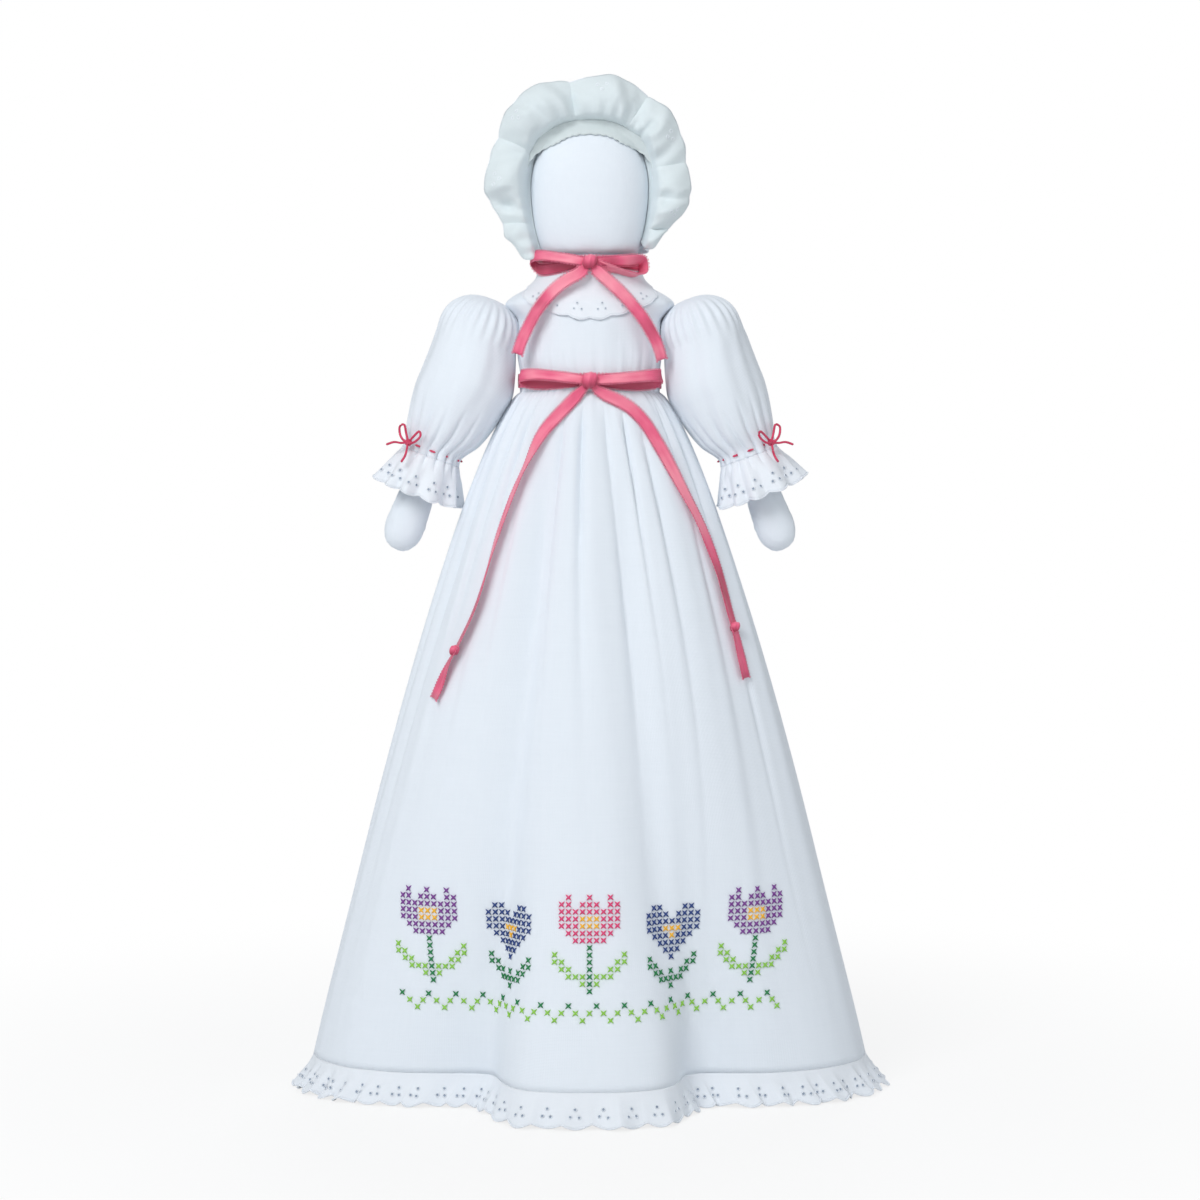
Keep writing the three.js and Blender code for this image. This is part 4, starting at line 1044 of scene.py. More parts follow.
# The band of cross-stitch above the hem: tulips and hearts over a zigzag, of this doll's own design
STITCH_PITCH = 3.05
STITCH_TOP_Z = 96.0
FLOSS_COLOURS = {
    "R": "#E0447A", "P": "#7B3C92", "N": "#24407F", "Y": "#F7BC35", "D": "#0E7A42", "L": "#8FCB4A"}
TULIP = (
    "..F..F..F..", ".FF.FFF.FF.", ".FFFFFFFFF.", ".FFFYYYFFF.", ".FFFYYYFFF.", "..FFFFFFF..", "...FFFFF...",
    ".....D.....", "L....D....L", "LL...D...LL", ".LL..D..LL.", "..LLLDLLL..", "....LDL....", ".....D.....")
HEART = (
    ".........", ".........", ".FF...FF.", "FFFF.FFFF", "FFFFFFFFF", "FFFYYYFFF", ".FFFYFFF.", "..FFFFF..",
    "...FFF...", "D...F...D", "DD.....DD", ".DD.D.DD.", "..DDDDD..", "....D....")
MOTIFS = ((TULIP, "R", 0), (HEART, "N", -13), (HEART, "N", 13), (TULIP, "P", -26), (TULIP, "P", 26))


def stitch_cells():
    """Column, row and colour of every cross."""
    cells = []
    for motif, flower, centre in MOTIFS:
        for row, line in enumerate(motif):
            for column, mark in enumerate(line):
                if mark != ".":
                    cells.append((centre + column - len(line) // 2, row, flower if mark == "F" else mark))
    for column in range(-31, 32):
        cells.append((column, 15 + abs((column + 33) % 4 - 2), "LD"[(column + 33) % 4 == 2]))
    return cells


def make_cross_stitch():
    cells = stitch_cells()
    sweep = np.linspace(-np.pi / 2 - 1.35, -np.pi / 2 + 1.35, 500)
    turns = np.empty(len(cells))
    heights = np.array([STITCH_TOP_Z - STITCH_PITCH * row for _, row, _ in cells])
    columns = np.array([column for column, _, _ in cells])
    for z in np.unique(heights):
        line = skirt_surface(sweep, np.full_like(sweep, z))
        run = np.r_[0, np.cumsum(np.linalg.norm(np.diff(line, axis=0), axis=1))]
        run -= np.interp(-np.pi / 2, sweep, run)
        row = heights == z
        turns[row] = np.interp(columns[row] * STITCH_PITCH, run, sweep)
    point, along, out = on_surface(skirt_surface, turns, heights, away_from_axis)
    colours = [linear(FLOSS_COLOURS[mark]) for _, _, mark in cells]
    piece = sew("skirt_cross_stitch", CROSSES, point + CROSS_LIFT * out, along, out, [floss], colours=colours)
    return dress(piece, None, "torso", "thread")


stitching = make_cross_stitch()


# Bodice and collar
GOWN_SHOULDER_Z, GOWN_SHOULDER_REACH, GOWN_SHOULDER_SPREAD = 362.5, 6.2, 4.5
ARMHOLE_RADIUS = 4.2


def gown_at(z):
    """The body's outline with the gown's fuller shoulder line."""
    half_width, half_depth = body_at(z)
    return half_width + GOWN_SHOULDER_REACH * bell(z - GOWN_SHOULDER_Z, GOWN_SHOULDER_SPREAD), half_depth


def bodice_surface(turn, z):
    half_width, half_depth = gown_at(z)
    rise = (z - WAIST_SEAM_Z) / (BODICE_TOP_Z - WAIST_SEAM_Z)
    crease = 0.45 * round_ripple(turn, 26, 6, 2 * rise) * bell(rise - 0.1, 0.22)
    pull = 0.35 * round_ripple(turn, 7, 9, 5 * rise) * np.sin(np.pi * np.clip(rise, 0, 1))
    reach = BODICE_OFFSET + np.minimum(crease + pull - 0.2, 0.2)
    return points_of((half_width + reach) * np.cos(turn), (half_depth + reach) * np.sin(turn), z)


def make_bodice():
    turn = full_turn(220)
    levels = np.linspace(WAIST_SEAM_Z + LAYER_GAP, BODICE_TOP_Z, 64)
    piece = grid_piece("gown_bodice", bodice_surface(turn[None, :], levels[:, None]), wrap=True)
    form = bmesh.new()
    form.from_mesh(piece.data)
    armhole = []
    for face in form.faces:
        middle = face.calc_center_median()
        if math.hypot(middle.y, middle.z - SHOULDER_Z * MM) < ARMHOLE_RADIUS * MM:
            armhole.append(face)
    bmesh.ops.delete(form, geom=armhole, context="FACES")
    form.to_mesh(piece.data)
    form.free()
    dress(thicken(piece, 0.8), cotton, "torso", "white_cotton", "bodice")


COLLAR_SCALLOPS, COLLAR_SCALLOP_DEPTH = 22, 1.2
COLLAR_SIDE_DROP, COLLAR_FRONT_DROP = 7.0, 22.0
COLLAR_TOP_Z = NECK_RIBBON_Z - RIBBON_WIDTH / 2 - LAYER_GAP


def collar_surface(turn, down):
    middle = np.sin(turn) ** 2
    points = COLLAR_SCALLOP_DEPTH * middle * np.abs(np.cos(COLLAR_SCALLOPS * turn / 2))
    drop = lerp(COLLAR_SIDE_DROP, COLLAR_FRONT_DROP, middle) + points
    z = COLLAR_TOP_Z - down * drop
    half_width, half_depth = gown_at(z)
    reach = BODICE_OFFSET + lerp(0.5, 0.8, middle) + 0.1 * down * middle * np.cos(COLLAR_SCALLOPS * turn)
    return points_of((half_width + reach) * np.cos(turn), (half_depth + reach) * np.sin(turn), z)


def make_collar():
    turn = full_turn(440)
    rows = collar_surface(turn[None, :], np.linspace(0, 1, 20)[:, None])
    piece = thicken(grid_piece("lace_collar", rows, wrap=True), 0.4)
    bead = edge_bead("lace_collar_edge", rows[-1], 0.25)
    clusters = np.arange(COLLAR_SCALLOPS) * 2 * np.pi / COLLAR_SCALLOPS
    clusters = clusters[np.abs(np.sin(clusters)) > 0.55]
    eyelets = sew_eyelets(
        "lace_collar_eyelets", collar_surface, clusters, 0.045, (0.68, 0.8), away_from_axis, 0.6)
    dress_lace(piece, eyelets, bead, lace, "torso", "collar_ruffle")


make_bodice()
make_collar()


# Stuffed pieces, swelled by cloth simulation
STUFFING_FRAMES = 20
STUFFING_PRESSURE = 4.0


def stuff(piece, cap, voxel=3.0):
    """Swells a closed form by inner pressure, with no point moved further than the cap."""
    even = piece.modifiers.new("even", "REMESH")
    even.mode = "VOXEL"
    even.voxel_size = voxel * MM
    bake(piece)
    scene = bpy.context.scene
    start = vertex_places(piece.data)
    cloth = piece.modifiers.new("cloth", "CLOTH")
    cloth.settings.use_pressure = True
    cloth.settings.uniform_pressure_force = STUFFING_PRESSURE
    cloth.settings.effector_weights.gravity = 0.0
    cloth.point_cache.frame_start = 1
    cloth.point_cache.frame_end = STUFFING_FRAMES
    for step in range(1, STUFFING_FRAMES + 1):
        scene.frame_set(step)
    swelled = piece.evaluated_get(bpy.context.evaluated_depsgraph_get())
    move = vertex_places(swelled.data) - start
    length = np.linalg.norm(move, axis=1, keepdims=True)
    piece.modifiers.clear()
    scene.frame_set(1)
    move_vertices(piece, start + move * np.minimum(1, cap * MM / np.maximum(length, 1e-9)))
    settle = piece.modifiers.new("settle", "SMOOTH")
    settle.factor = 0.5
    settle.iterations = 4
    bake(piece)
    return subdivide(piece)


def closed_loft(name, rings):
    """A closed form through rings of points, shut by a point at each end."""
    ends = [np.repeat(ring.mean(axis=0, keepdims=True), len(ring), axis=0) for ring in (rings[0], rings[-1])]
    return weld(grid_piece(name, np.stack([ends[0], *rings, ends[1]]), wrap=True), 0.001)


def oval(half_width, half_depth, z, count=48):
    turn = full_turn(count)
    return points_of(half_width * np.cos(turn), half_depth * np.sin(turn), z)


def sew_seam(piece, distance, along, depth=0.45, width=1.3):
    """Presses a puckered seam into a stuffed piece; distance and along are in millimetres."""
    normals = np.empty(3 * len(piece.data.vertices))
    piece.data.vertices.foreach_get("normal", normals)
    pucker = 1 + 0.5 * ripple(2.2 * along, 3)
    press = depth * bell(distance, width) * pucker
    swell = 0.3 * depth * bell(np.abs(distance) - 3.2, 2.4) * ripple(1.6 * along, 8)
    places = vertex_places(piece.data) + normals.reshape(-1, 3) * (swell - press)[:, None] * MM
    move_vertices(piece, places)


def make_torso():
    levels = np.linspace(TORSO_BASE_Z + 0.5, TORSO_TOP_Z - 0.5, 40)
    rings = []
    for z in levels:
        half_width, half_depth = body_at(z)
        rings.append(oval(half_width - 1.2, half_depth - 1.2, z))
    piece = stuff(closed_loft("stuffed_body", rings), 0.8)
    places = vertex_places(piece.data) / MM
    sew_seam(piece, np.where(np.abs(places[:, 0]) > 12, places[:, 1], 99.0), places[:, 2], 0.5)
    sew_seam(piece, places[:, 2] - TORSO_BASE_Z - 1.5, 20 * np.arctan2(places[:, 1], places[:, 0]), 0.5)
    dress(piece, muslin, "torso", "muslin", "torso_cover", "torso_stuffing", "torso_base")


NECK_HALF_WIDTH, NECK_HALF_DEPTH = 20.0, 15.0
# The neck's underside is part of a roll about the nodding axis
NOD_ROLL_Z, NOD_ROLL_RADIUS = 383.0, 18.0


def make_neck():
    rings = []
    for share in (0.35, 0.6, 0.8, 0.93, 1.0):
        half_depth = NECK_HALF_DEPTH * share
        z = NOD_ROLL_Z - math.sqrt(NOD_ROLL_RADIUS**2 - half_depth**2) + LAYER_GAP
        rings.append(oval(NECK_HALF_WIDTH * share, half_depth, z))
    rings += [oval(w, 0.8 * w, z) for w, z in ((20.0, 376.0), (20.6, 379.0), (20.0, 381.0))]
    piece = stuff(closed_loft("stuffed_neck", rings), 0.4, 2.0)
    dress(piece, stuffed_cotton, "neck", "muslin", "neck")


HEAD_HALF_WIDTH, HEAD_HALF_DEPTH = 28.2, 24.3
CHIN_HALF_WIDTH = 23.6
CHIN_Z = 378.2
# How full the head's sides are: the power of its rounded outline, where 2 is an oval
HEAD_FULLNESS = 2.4


def head_share(z):
    """How wide the head is at a height, as a share of its widest."""
    below = HEAD_CENTRE_Z - HEAD_BOTTOM_Z
    lower = below / math.sqrt(1 - (CHIN_HALF_WIDTH / HEAD_HALF_WIDTH) ** 2)
    reach = np.where(z < HEAD_CENTRE_Z, lower, HEAD_TOP_Z - HEAD_CENTRE_Z)
    return np.sqrt(np.maximum(1 - ((z - HEAD_CENTRE_Z) / reach) ** 2, 0))


def head_front_y(x, z):
    share = np.maximum(head_share(z), 1e-3)
    across = np.clip(np.abs(x) / (HEAD_HALF_WIDTH * share), 0, 1)
    return -HEAD_HALF_DEPTH * share * (1 - across ** HEAD_FULLNESS) ** (1 / HEAD_FULLNESS)


def make_head():
    """An egg with fuller sides than a ball, narrowed a little to the neck."""
    heights = HEAD_CENTRE_Z + 0.2 + (HEAD_TOP_Z - HEAD_CENTRE_Z) * np.sin(np.radians(np.linspace(0, 84, 14)))
    heights = np.concatenate([np.linspace(CHIN_Z, HEAD_CENTRE_Z, 16)[:-1], heights - 0.4])
    rings = []
    for z in heights:
        ring = oval(1.0, 1.0, z)
        spread = (np.abs(ring[:, :2]) ** HEAD_FULLNESS).sum(axis=1, keepdims=True) ** (1 / HEAD_FULLNESS)
        size = head_share(z) * np.array([HEAD_HALF_WIDTH, HEAD_HALF_DEPTH]) - 0.7
        ring[:, :2] *= size / spread
        rings.append(ring)
    piece = stuff(closed_loft("stuffed_head", rings), 0.7)
    places = vertex_places(piece.data) / MM
    sew_seam(piece, np.where(places[:, 2] > 385, places[:, 1], 99.0), places[:, 2] + places[:, 0])
    dress(piece, stuffed_cotton, "head", "white_cotton", "head_cover", "head_stuffing")
    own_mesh(piece)


make_torso()
make_neck()
make_head()


# Arms and sleeves, made along -Z from the shoulder and then hung at their tilt
SLEEVE_LENGTH = 58.0
CUFF_THREAD_AT = 55.0
CUFF_RADIUS = 14.0
CUFF_GATHERS = 11
CUFF_SCALLOPS, CUFF_SCALLOP_DEPTH = 13, 1.4
CUFF_FLARE, CUFF_GATHER_DEPTH, CUFF_WAVE_DEPTH = 6.5, 1.9, 0.8
CUFF_LACE_LENGTH = 17.6


def hang(points, side):
    """Turns points made along -Z by the arm's tilt and moves them to the shoulder."""
    x, y, z = np.moveaxis(np.asarray(points, float), -1, 0)
    tilt = -side * ARM_TILT
    return points_of(x * math.cos(tilt) + z * math.sin(tilt) + side * SHOULDER_X, y,
                     z * math.cos(tilt) - x * math.sin(tilt) + SHOULDER_Z)


def arm_line(side, at):
    return hang(np.array([0.0, 0.0, -at]), side)


# How far along the arm, how wide, and how far the sleeve leans towards the body
SLEEVE_STATIONS = [
    [0, 19, 1.0], [10, 20.5, 2.8], [20, 21.7, 3.9], [28, 21.2, 3.2], [36, 20.1, 2.8], [46, 17.5, 1.9],
    [CUFF_THREAD_AT - 1.2, CUFF_RADIUS, 0], [SLEEVE_LENGTH, CUFF_RADIUS, 0]]
SLEEVE_SHAPE = smooth_route(SLEEVE_STATIONS, 80)
SLEEVE_CAP_RADIUS = 19.0
SLEEVE_CAP_FULLNESS = 2.4


def sleeve_local(turn, at, side):
    """The puffed sleeve: puckered at the cap, gathered at the cuff, with soft folds between."""
    above = np.clip(-at / SLEEVE_CAP_RADIUS, 0, 1)
    cap = SLEEVE_CAP_RADIUS * (1 - above ** SLEEVE_CAP_FULLNESS) ** (1 / SLEEVE_CAP_FULLNESS)
    radius = np.where(at < 0, cap, np.interp(at, SLEEVE_SHAPE[:, 0], SLEEVE_SHAPE[:, 1]))
    lean = np.interp(at, SLEEVE_SHAPE[:, 0], SLEEVE_SHAPE[:, 2])
    head = 0.5 * np.cos(26 * turn + np.sin(3 * turn)) * bell(at + 9, 8)
    pleat = 1 - np.abs(np.sin(9.5 * turn + 0.6 * np.sin(2 * turn)))
    cuff = 0.5 - 1.7 * pleat ** 1.6 * smooth((at - 26) / 24)
    folds = 1.1 * round_ripple(turn, 5, 4, 0.05 * at) * smooth((at + 4) / 12) * (1 - smooth((at - 46) / 8))
    flattened = 1 - 0.8 * smooth(-side * np.cos(turn) * 1.6 - 0.4)
    radius = np.maximum(radius + (head + cuff + folds * flattened - 0.7) * smooth((at + 19) / 5), 0)
    return points_of(radius * np.cos(turn) - side * lean, radius * np.sin(turn), -at)


def cuff_local(turn, down):
    gather = np.cos(CUFF_GATHERS * turn + 0.9 * np.sin(3 * turn))
    flare = CUFF_FLARE * down ** 0.9 + CUFF_GATHER_DEPTH * down * gather
    flare = flare + CUFF_WAVE_DEPTH * down * round_ripple(turn, 4, 2)
    points = scallop(CUFF_SCALLOPS * turn / 2, CUFF_SCALLOP_DEPTH)
    sewn_on = np.hypot(*np.moveaxis(sleeve_local(turn, SLEEVE_LENGTH, 0)[..., :2], -1, 0)) - 0.1
    radius = lerp(sewn_on, CUFF_RADIUS - 0.4, smooth(down / 0.4)) + flare
    z = 0.4 - SLEEVE_LENGTH - down * (CUFF_LACE_LENGTH - points - 1.5 * np.sin(turn))
    return points_of(radius * np.cos(turn), radius * np.sin(turn), z)


# How far along the arm and how wide, from the shoulder to the tip of the mitten hand
ARM_STATIONS = np.array([
    [3.5, 9.3], [40, 9.4], [72, 8.8], [86, 10.0], [94, 10.3], [99, 9.0], [102, 6.4], [103.6, 3]])
ARM_SWELL = 0.6


def make_arm(side_name, side):
    at = np.concatenate([np.linspace(3.5, 94, 30), [96, 98, 100, 101.5, 102.7, 103.6]])
    radius = np.interp(at, ARM_STATIONS[:, 0], ARM_STATIONS[:, 1]) - ARM_SWELL
    rings = [hang(oval(r, 0.92 * r, -a), side) for a, r in zip(at, radius)]
    piece = stuff(closed_loft(f"stuffed_arm_{side_name}", rings), ARM_SWELL, 2.5)
    places = vertex_places(piece.data) / MM
    sew_seam(piece, places[:, 1], places[:, 2] + side * places[:, 0], 0.4)
    dress(piece, stuffed_cotton, f"arm_{side_name}", "white_cotton",
          f"arm_cover_{side_name}", f"arm_stuffing_{side_name}")


def make_sleeve(side_name, side):
    turn = full_turn(190)
    cap = -SLEEVE_CAP_RADIUS * np.sin(np.linspace(np.pi / 2, 0, 16))
    at = np.concatenate([cap, np.linspace(0, SLEEVE_LENGTH, 54)[1:]])
    rows = hang(sleeve_local(turn[None, :], at[:, None], side), side)
    piece = thicken(weld(grid_piece(f"gown_sleeve_{side_name}", rows, wrap=True), 0.001), 0.7)
    dress(piece, cotton, f"arm_{side_name}", "white_cotton", f"sleeve_{side_name}")


def make_cuff(side_name, side):
    def surface(turn, down):
        return hang(cuff_local(turn, down), side)

    def guide(point):
        return point - arm_line(side, SLEEVE_LENGTH)

    turn = full_turn(330)
    rows = surface(turn[None, :], np.linspace(0, 1, 16)[:, None])
    piece = thicken(grid_piece(f"cuff_lace_{side_name}", rows, wrap=True), 0.5)
    bead = edge_bead(f"cuff_lace_edge_{side_name}", rows[-1], 0.36)
    clusters = (np.arange(CUFF_SCALLOPS) + 0.5) * 2 * np.pi / CUFF_SCALLOPS
    eyelets = sew_eyelets(f"cuff_lace_eyelets_{side_name}", surface, clusters, 0.085, (0.55, 0.74), guide)
    dress_lace(piece, eyelets, bead, lace, f"arm_{side_name}", f"cuff_ruffle_{side_name}")


# The thread's two loops and two tails, out from the knot: across, away from the cuff and up
THREAD_BOW = (
    [[0, 0, 0], [-2.6, 1.0, 3.2], [-5.4, 1.6, 6.4], [-7.4, 1.9, 4.6], [-5.2, 1.6, 1.4], [-2, 1.2, -0.2],
     [0, 0.8, 0]],
    [[0, 0, 0], [2.2, 1.0, 3.4], [4.6, 1.7, 6.8], [6.6, 1.9, 5.2], [4.8, 1.6, 1.8], [1.8, 1.2, 0],
     [0, 0.8, 0]],
    [[0, 0.6, 0], [-2.0, 1.6, -2.6], [-3.2, 2.4, -6.0], [-3.4, 3.6, -9.5]],
    [[0, 0.6, 0], [2.6, 1.6, -1.4], [6.2, 2.4, -2.2], [9.6, 3.2, -4.6]],
)
THREAD_RADIUS = 0.55
THREAD_BOW_TURN = math.radians(40.0)
CUFF_STITCHES = 11


def make_cuff_thread(side_name, side):
    """Running stitches round the cuff and the bow that ties them off."""
    def surface(turn, at):
        return hang(sleeve_local(turn, at, side), side)

    def guide(point):
        return point - arm_line(side, CUFF_THREAD_AT)

    turn = full_turn(CUFF_STITCHES) + 0.2
    point, along, out = on_surface(surface, turn, np.full(CUFF_STITCHES, CUFF_THREAD_AT), guide)
    dashes = sew(f"cuff_stitches_{side_name}", DASHES, point + DASH_LIFT * out, along, out, [red_thread])
    dress(dashes, None, f"arm_{side_name}", "thread", f"cuff_thread_{side_name}")
    parts = []
    for number, route in enumerate(THREAD_BOW):
        path = smooth_route(route, 26)
        parts.append(tube(f"cuff_bow_part_{side_name}_{number}", path * [side, -1, 1], THREAD_RADIUS))
    knot = [oval(2.0 * math.cos(a), 1.5 * math.cos(a), 1.7 * math.sin(a), count=14)
            for a in np.linspace(-1.4, 1.4, 9)]
    parts.append(closed_loft(f"cuff_bow_knot_{side_name}", knot))
    bow = merge(*parts)
    spin = side * THREAD_BOW_TURN
    x, y, z = vertex_places(bow.data).T / MM
    y = y - (CUFF_RADIUS + 3.0)
    turned = points_of(x * math.cos(spin) - y * math.sin(spin), x * math.sin(spin) + y * math.cos(spin),
                       z - CUFF_THREAD_AT)
    move_vertices(bow, hang(turned, side) * MM)
    bow.name = f"cuff_thread_bow_{side_name}"
    dress(bow, red_thread, f"arm_{side_name}", "thread", f"cuff_bow_{side_name}")


def make_shoulder_tab(side_name, side):
    """The flat cloth that the arm hangs from, rolled at its outer end."""
    inner = body_at(SHOULDER_Z)[0] + LAYER_GAP
    outline = [[inner - SHOULDER_X, -1.0], [-8.0, -0.9], [-3.0, -1.2]]
    outline += [[3.0 * math.cos(a), 3.0 * math.sin(a)] for a in np.linspace(-2.6, 2.6, 16)]
    outline += [[-3.0, 1.2], [-8.0, 0.9], [inner - SHOULDER_X, 1.0]]
    outline = np.array(outline)
    x, z = side * (SHOULDER_X + outline[:, 0]), SHOULDER_Z + outline[:, 1]
    rings = [points_of(x, y, z) for y in np.linspace(-3.0, 3.0, 7)]
    piece = closed_loft(f"shoulder_cloth_{side_name}", rings)
    dress(piece, muslin, f"shoulder_{side_name}", "muslin", f"shoulder_tab_{side_name}")


for side_name, side in SIDES:
    make_arm(side_name, side)
    make_sleeve(side_name, side)
    make_cuff(side_name, side)
    make_cuff_thread(side_name, side)
    make_shoulder_tab(side_name, side)


# Bonnet: a puffed crown, the band round the face and the big gathered ruffle
CROWN_CENTRE_Y, CROWN_HALF_DEPTH = 6.0, 31.0
BONNET_FRONT_Y = -6.0
FACE_SHARE = math.sqrt(1 - ((BONNET_FRONT_Y - CROWN_CENTRE_Y) / CROWN_HALF_DEPTH) ** 2)
CROWN_HALF_WIDTH = 28.0 / FACE_SHARE
CROWN_HEIGHT = HEAD_TOP_Z + 3.0 - HEAD_CENTRE_Z
BAND_DEPTH, BAND_SLANT = 8.0, 5.6
BAND_FRONT_Y = BONNET_FRONT_Y - LAYER_GAP - BAND_DEPTH
BAND_DROP = 4.6
# How far the band's sides tuck in at the chin, and how square its arch is (1 is round, less is squarer)
CHIN_TUCK = 4.6
ARCH_SQUARENESS = 0.84


def squared(share):
    """Pushes a circle's shares of its radius out towards a square's."""
    return np.sign(share) * np.abs(share) ** ARCH_SQUARENESS


def face_arch(share, size, offset, drop=0.0):
    """The arch round the face, from one lower end over the top to the other, in X and Z."""
    half_width, rise = CROWN_HALF_WIDTH * size, CROWN_HEIGHT * size - drop
    straight = HEAD_CENTRE_Z - HEAD_BOTTOM_Z
    curve = np.pi * (half_width + rise) / 2
    along = share * (2 * straight + curve) - straight
    turn = np.pi * (1 - np.clip(along / np.maximum(curve, 1e-6), 0, 1))
    below = np.maximum(np.maximum(-along, along - curve), 0)
    out_x, out_z = np.cos(turn) * rise, np.sin(turn) * half_width
    length = np.maximum(np.hypot(out_x, out_z), 1e-6)
    out_x, out_z = [np.where(length > 1e-5, part / length, 0) for part in (out_x, out_z)]
    tucked = half_width - CHIN_TUCK * size * (below / straight) ** 2
    x = tucked * squared(np.cos(turn)) + offset * out_x
    z = HEAD_CENTRE_Z + rise * squared(np.sin(turn)) - below + offset * out_z
    return x, z


def bonnet_front_y(share):
    """The front edge of the band, which slants back towards the chin."""
    return lerp(BAND_FRONT_Y + BAND_SLANT, BAND_FRONT_Y, smooth(1 - (np.abs(share - 0.5) - 0.1) / 0.3))


def crown_surface(share, swing):
    """The crown, from the band at swing 0 to the back of the head at swing 1."""
    angle = lerp(math.asin((BONNET_FRONT_Y - CROWN_CENTRE_Y) / CROWN_HALF_DEPTH), np.pi / 2, swing)
    front = np.exp(-swing / 0.12)
    gathers = 1.1 * np.cos(58 * share + 2 * np.sin(7 * share)) * front * smooth(swing / 0.03)
    puff = 1.3 * ripple(11 * share + 2 * swing, 5) * np.sin(np.pi * swing) ** 0.7
    x, z = face_arch(share, np.cos(angle), 1.0 + gathers + np.maximum(puff, -0.7))
    x = np.where(swing >= 1, 0.0, x)
    y = CROWN_CENTRE_Y + (CROWN_HALF_DEPTH + 1.0 + 0.5 * puff) * np.sin(angle)
    return points_of(x, y, z)


# Where the deep creases between the big puffs of the ruffle lie, from its left end to its right end
RUFFLE_CREASES = np.array([0.0, 0.085, 0.28, 0.468, 0.612, 0.77, 0.94, 1.0])
PUFF_HEIGHTS = np.array([0.5, 0.9, 1.15, 1.0, 0.8, 1.15, 0.5])
# Pockets pressed into the ruffle: place along it, place across it and depth
RUFFLE_POCKETS = ((0.137, 0.62, 5.5), (0.845, 0.42, 4.5), (0.36, 0.3, 2.5), (0.66, 0.35, 2.5))
RUFFLE_EYELETS = np.array([0.2, 0.335, 0.52, 0.71, 0.89])
RUFFLE_WIDTH, RUFFLE_END_WIDTH = 18.5, 11.0
RUFFLE_BULGE, PUFF_BULGE = 2.4, 7.0
RUFFLE_GATHERS = 24
# How far the left end hangs down, and how far the corners of the ends are rounded off, inside and outside
RUFFLE_SAG = 4.8
INNER_CORNER, OUTER_CORNER = 3.5, 5.5


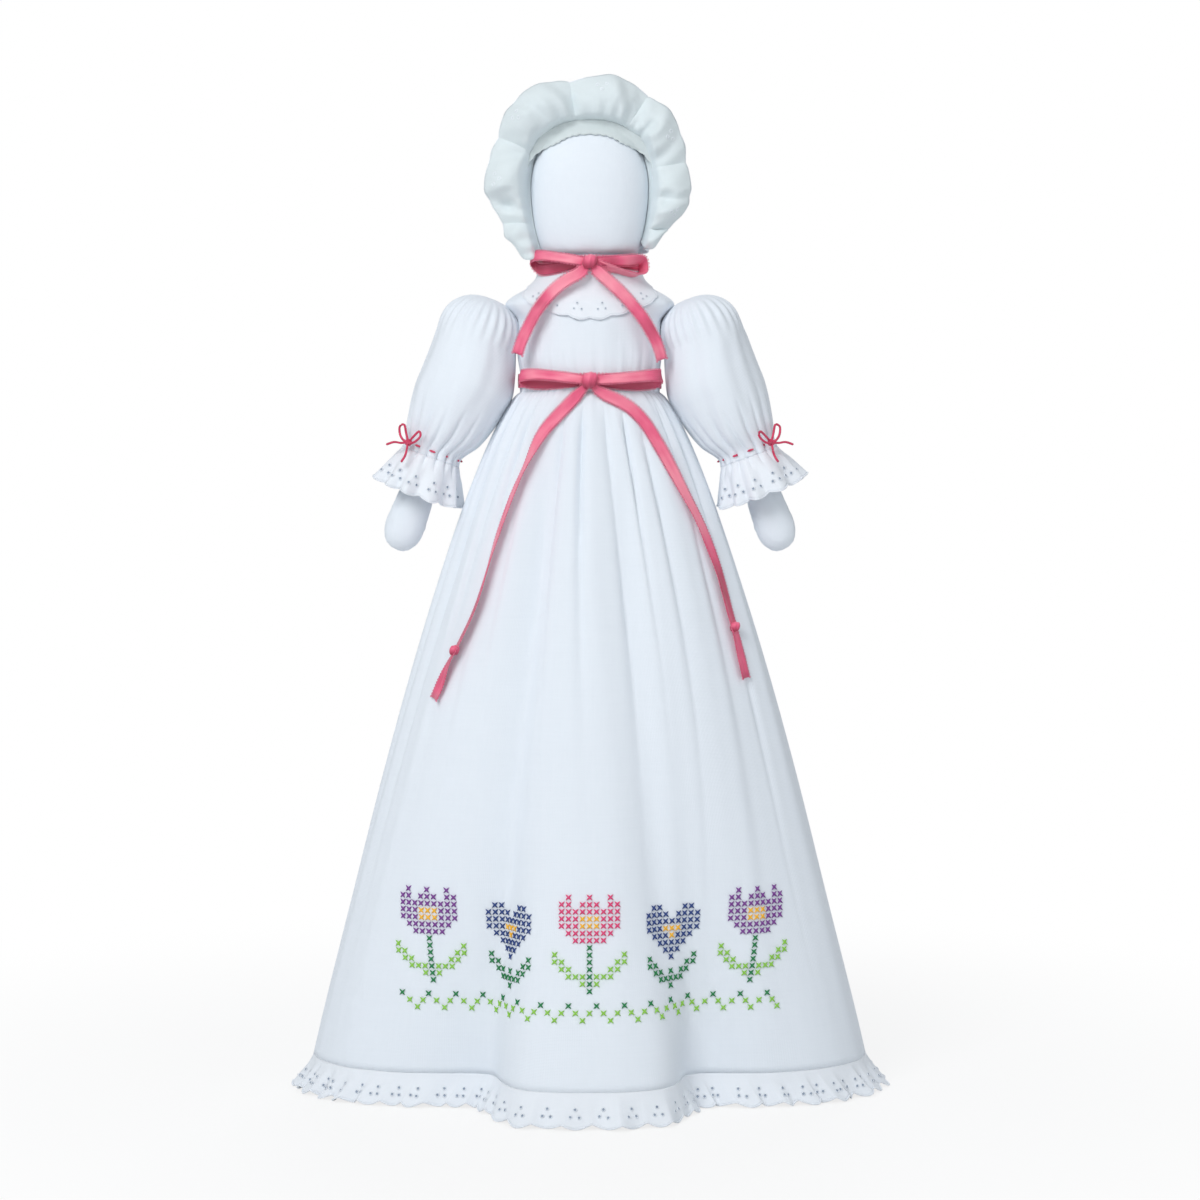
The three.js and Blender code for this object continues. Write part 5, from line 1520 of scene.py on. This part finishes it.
def ruffle_surface(share, down):
    """The ruffle: gathered at the band, then a few big uneven puffs with creases between them."""
    number = np.clip(np.searchsorted(RUFFLE_CREASES, share, side="right") - 1, 0, len(PUFF_HEIGHTS) - 1)
    inside = (share - RUFFLE_CREASES[number]) / (RUFFLE_CREASES[number + 1] - RUFFLE_CREASES[number])
    puff = np.sin(np.pi * np.clip(inside, 0, 1)) ** 0.9 * PUFF_HEIGHTS[number]
    fullness = smooth(np.minimum(share, 1 - share) / 0.2)
    pleats = np.cos(2 * np.pi * RUFFLE_GATHERS * share + 4 * np.sin(11 * share))
    gathers = pleats * (1 - down) ** 1.5 * smooth(down / 0.08)
    wrinkles = ripple(2 * np.pi * 8.5 * share + 2.8 * down, 5)
    width = lerp(RUFFLE_END_WIDTH, RUFFLE_WIDTH, fullness) - 2.0 * (share - 0.4)
    width = width + 2.6 * (puff - 0.7) + 0.7 * wrinkles
    sewn = smooth(1 - down / 0.12)
    roll = np.sin(np.pi * lerp(0.12 * (1 - sewn), 0.9, down))
    bulge = (RUFFLE_BULGE + PUFF_BULGE * puff) * roll + 0.8 * gathers
    bulge = bulge + 1.4 * wrinkles * np.sin(np.pi * down) ** 0.5
    for along, across, depth in RUFFLE_POCKETS:
        bulge = bulge - depth * bell(share - along, 0.022) * bell(down - across, 0.25)
    sides = smooth((np.abs(share - 0.5) - 0.12) / 0.12)
    edge = lerp(0.1, -0.7, sides)
    near_end = smooth(1 - np.minimum(share, 1 - share) / 0.07)
    sag = RUFFLE_SAG * smooth(1 - share / 0.12)
    edge_x, edge_z = face_arch(share, FACE_SHARE, edge, BAND_DROP)
    level = np.maximum(edge_z - sag + INNER_CORNER * near_end, CHIN_Z)
    snug = sides * np.maximum(np.abs(edge_x) - HEAD_HALF_WIDTH * head_share(level) + 1.6, 0)
    on_face = head_front_y(np.abs(edge_x) - snug + 0.8, level)
    x, z = face_arch(share, FACE_SHARE, edge + down * width, BAND_DROP)
    x = x - np.sign(edge_x) * snug * (1 - down)
    corner = np.where(down < 0.5, INNER_CORNER, OUTER_CORNER) * np.abs(2 * down - 1) ** 2.5
    z = z - sag + corner * near_end
    ahead = bonnet_front_y(share) - (LAYER_GAP + 1.0) * (1 - sewn) - bulge
    y = lerp(ahead, on_face, sides * smooth(1 - down / 0.3))
    return points_of(x, y, z)


def band_surface(share, back):
    """The band round the face, with a lip at its front that lies on the forehead."""
    gathers = 0.25 * np.cos(2 * np.pi * 36 * share)
    drop = BAND_DROP * (1 - np.clip(back, 0, 1))
    lip = np.maximum(-back, 0)
    top = smooth((np.minimum(share, 1 - share) - 0.22) / 0.16)
    inward = lip * lerp(0.4, 8.0, top)
    behind = np.clip(back, 0, 1)
    x, z = face_arch(share, FACE_SHARE, 1.0 + gathers + 0.4 * np.sin(np.pi * behind) - inward, drop)
    front = bonnet_front_y(share)
    y = lerp(front, BONNET_FRONT_Y - LAYER_GAP, behind)
    on_head = np.minimum(head_front_y(x, z) - 0.2, front)
    y = np.where(back < 0, lerp(front, on_head, smooth(lip * 1.5) * top), y)
    return points_of(x, y, z)


def make_bonnet():
    share = np.linspace(0, 1, 241)[None, :]
    rows = crown_surface(share, np.linspace(0, 1, 70)[:, None])
    crown = thicken(weld(grid_piece("bonnet_puff", rows), 0.01), 0.7)
    dress(crown, cotton, "bonnet", "white_cotton", "bonnet_crown")
    band = thicken(grid_piece("bonnet_brim", band_surface(share, np.linspace(0, 1, 10)[:, None])), 0.7)
    # The lip on the forehead is dressed in the lining's painted shade.
    lip = thicken(grid_piece("bonnet_lining_painted_shade", band_surface(share, np.linspace(-1, 0, 12)[:, None])), 0.6)
    dress(band, cotton, "bonnet", "white_cotton", "bonnet_band")
    dress(lip, lining_painted_shade, "bonnet", "white_cotton")
    share = np.linspace(0, 1, 620)[None, :]
    rows = ruffle_surface(share, np.linspace(0, 1, 30)[:, None])
    # The ruffle takes the bonnet lace's painted shade.
    ruffle = thicken(grid_piece("bonnet_lace_painted_shade", rows), 0.6, 0.0)
    bead = edge_bead("bonnet_lace_edge", rows[-1], 0.34, closed=False)
    eyelets = sew_eyelets(
        "bonnet_lace_eyelets", ruffle_surface, RUFFLE_EYELETS, 0.008, (0.66, 0.78), to_the_front)
    dress_lace(ruffle, eyelets, bead, bonnet_lace_painted_shade, "bonnet", "bonnet_ruffle")


make_bonnet()
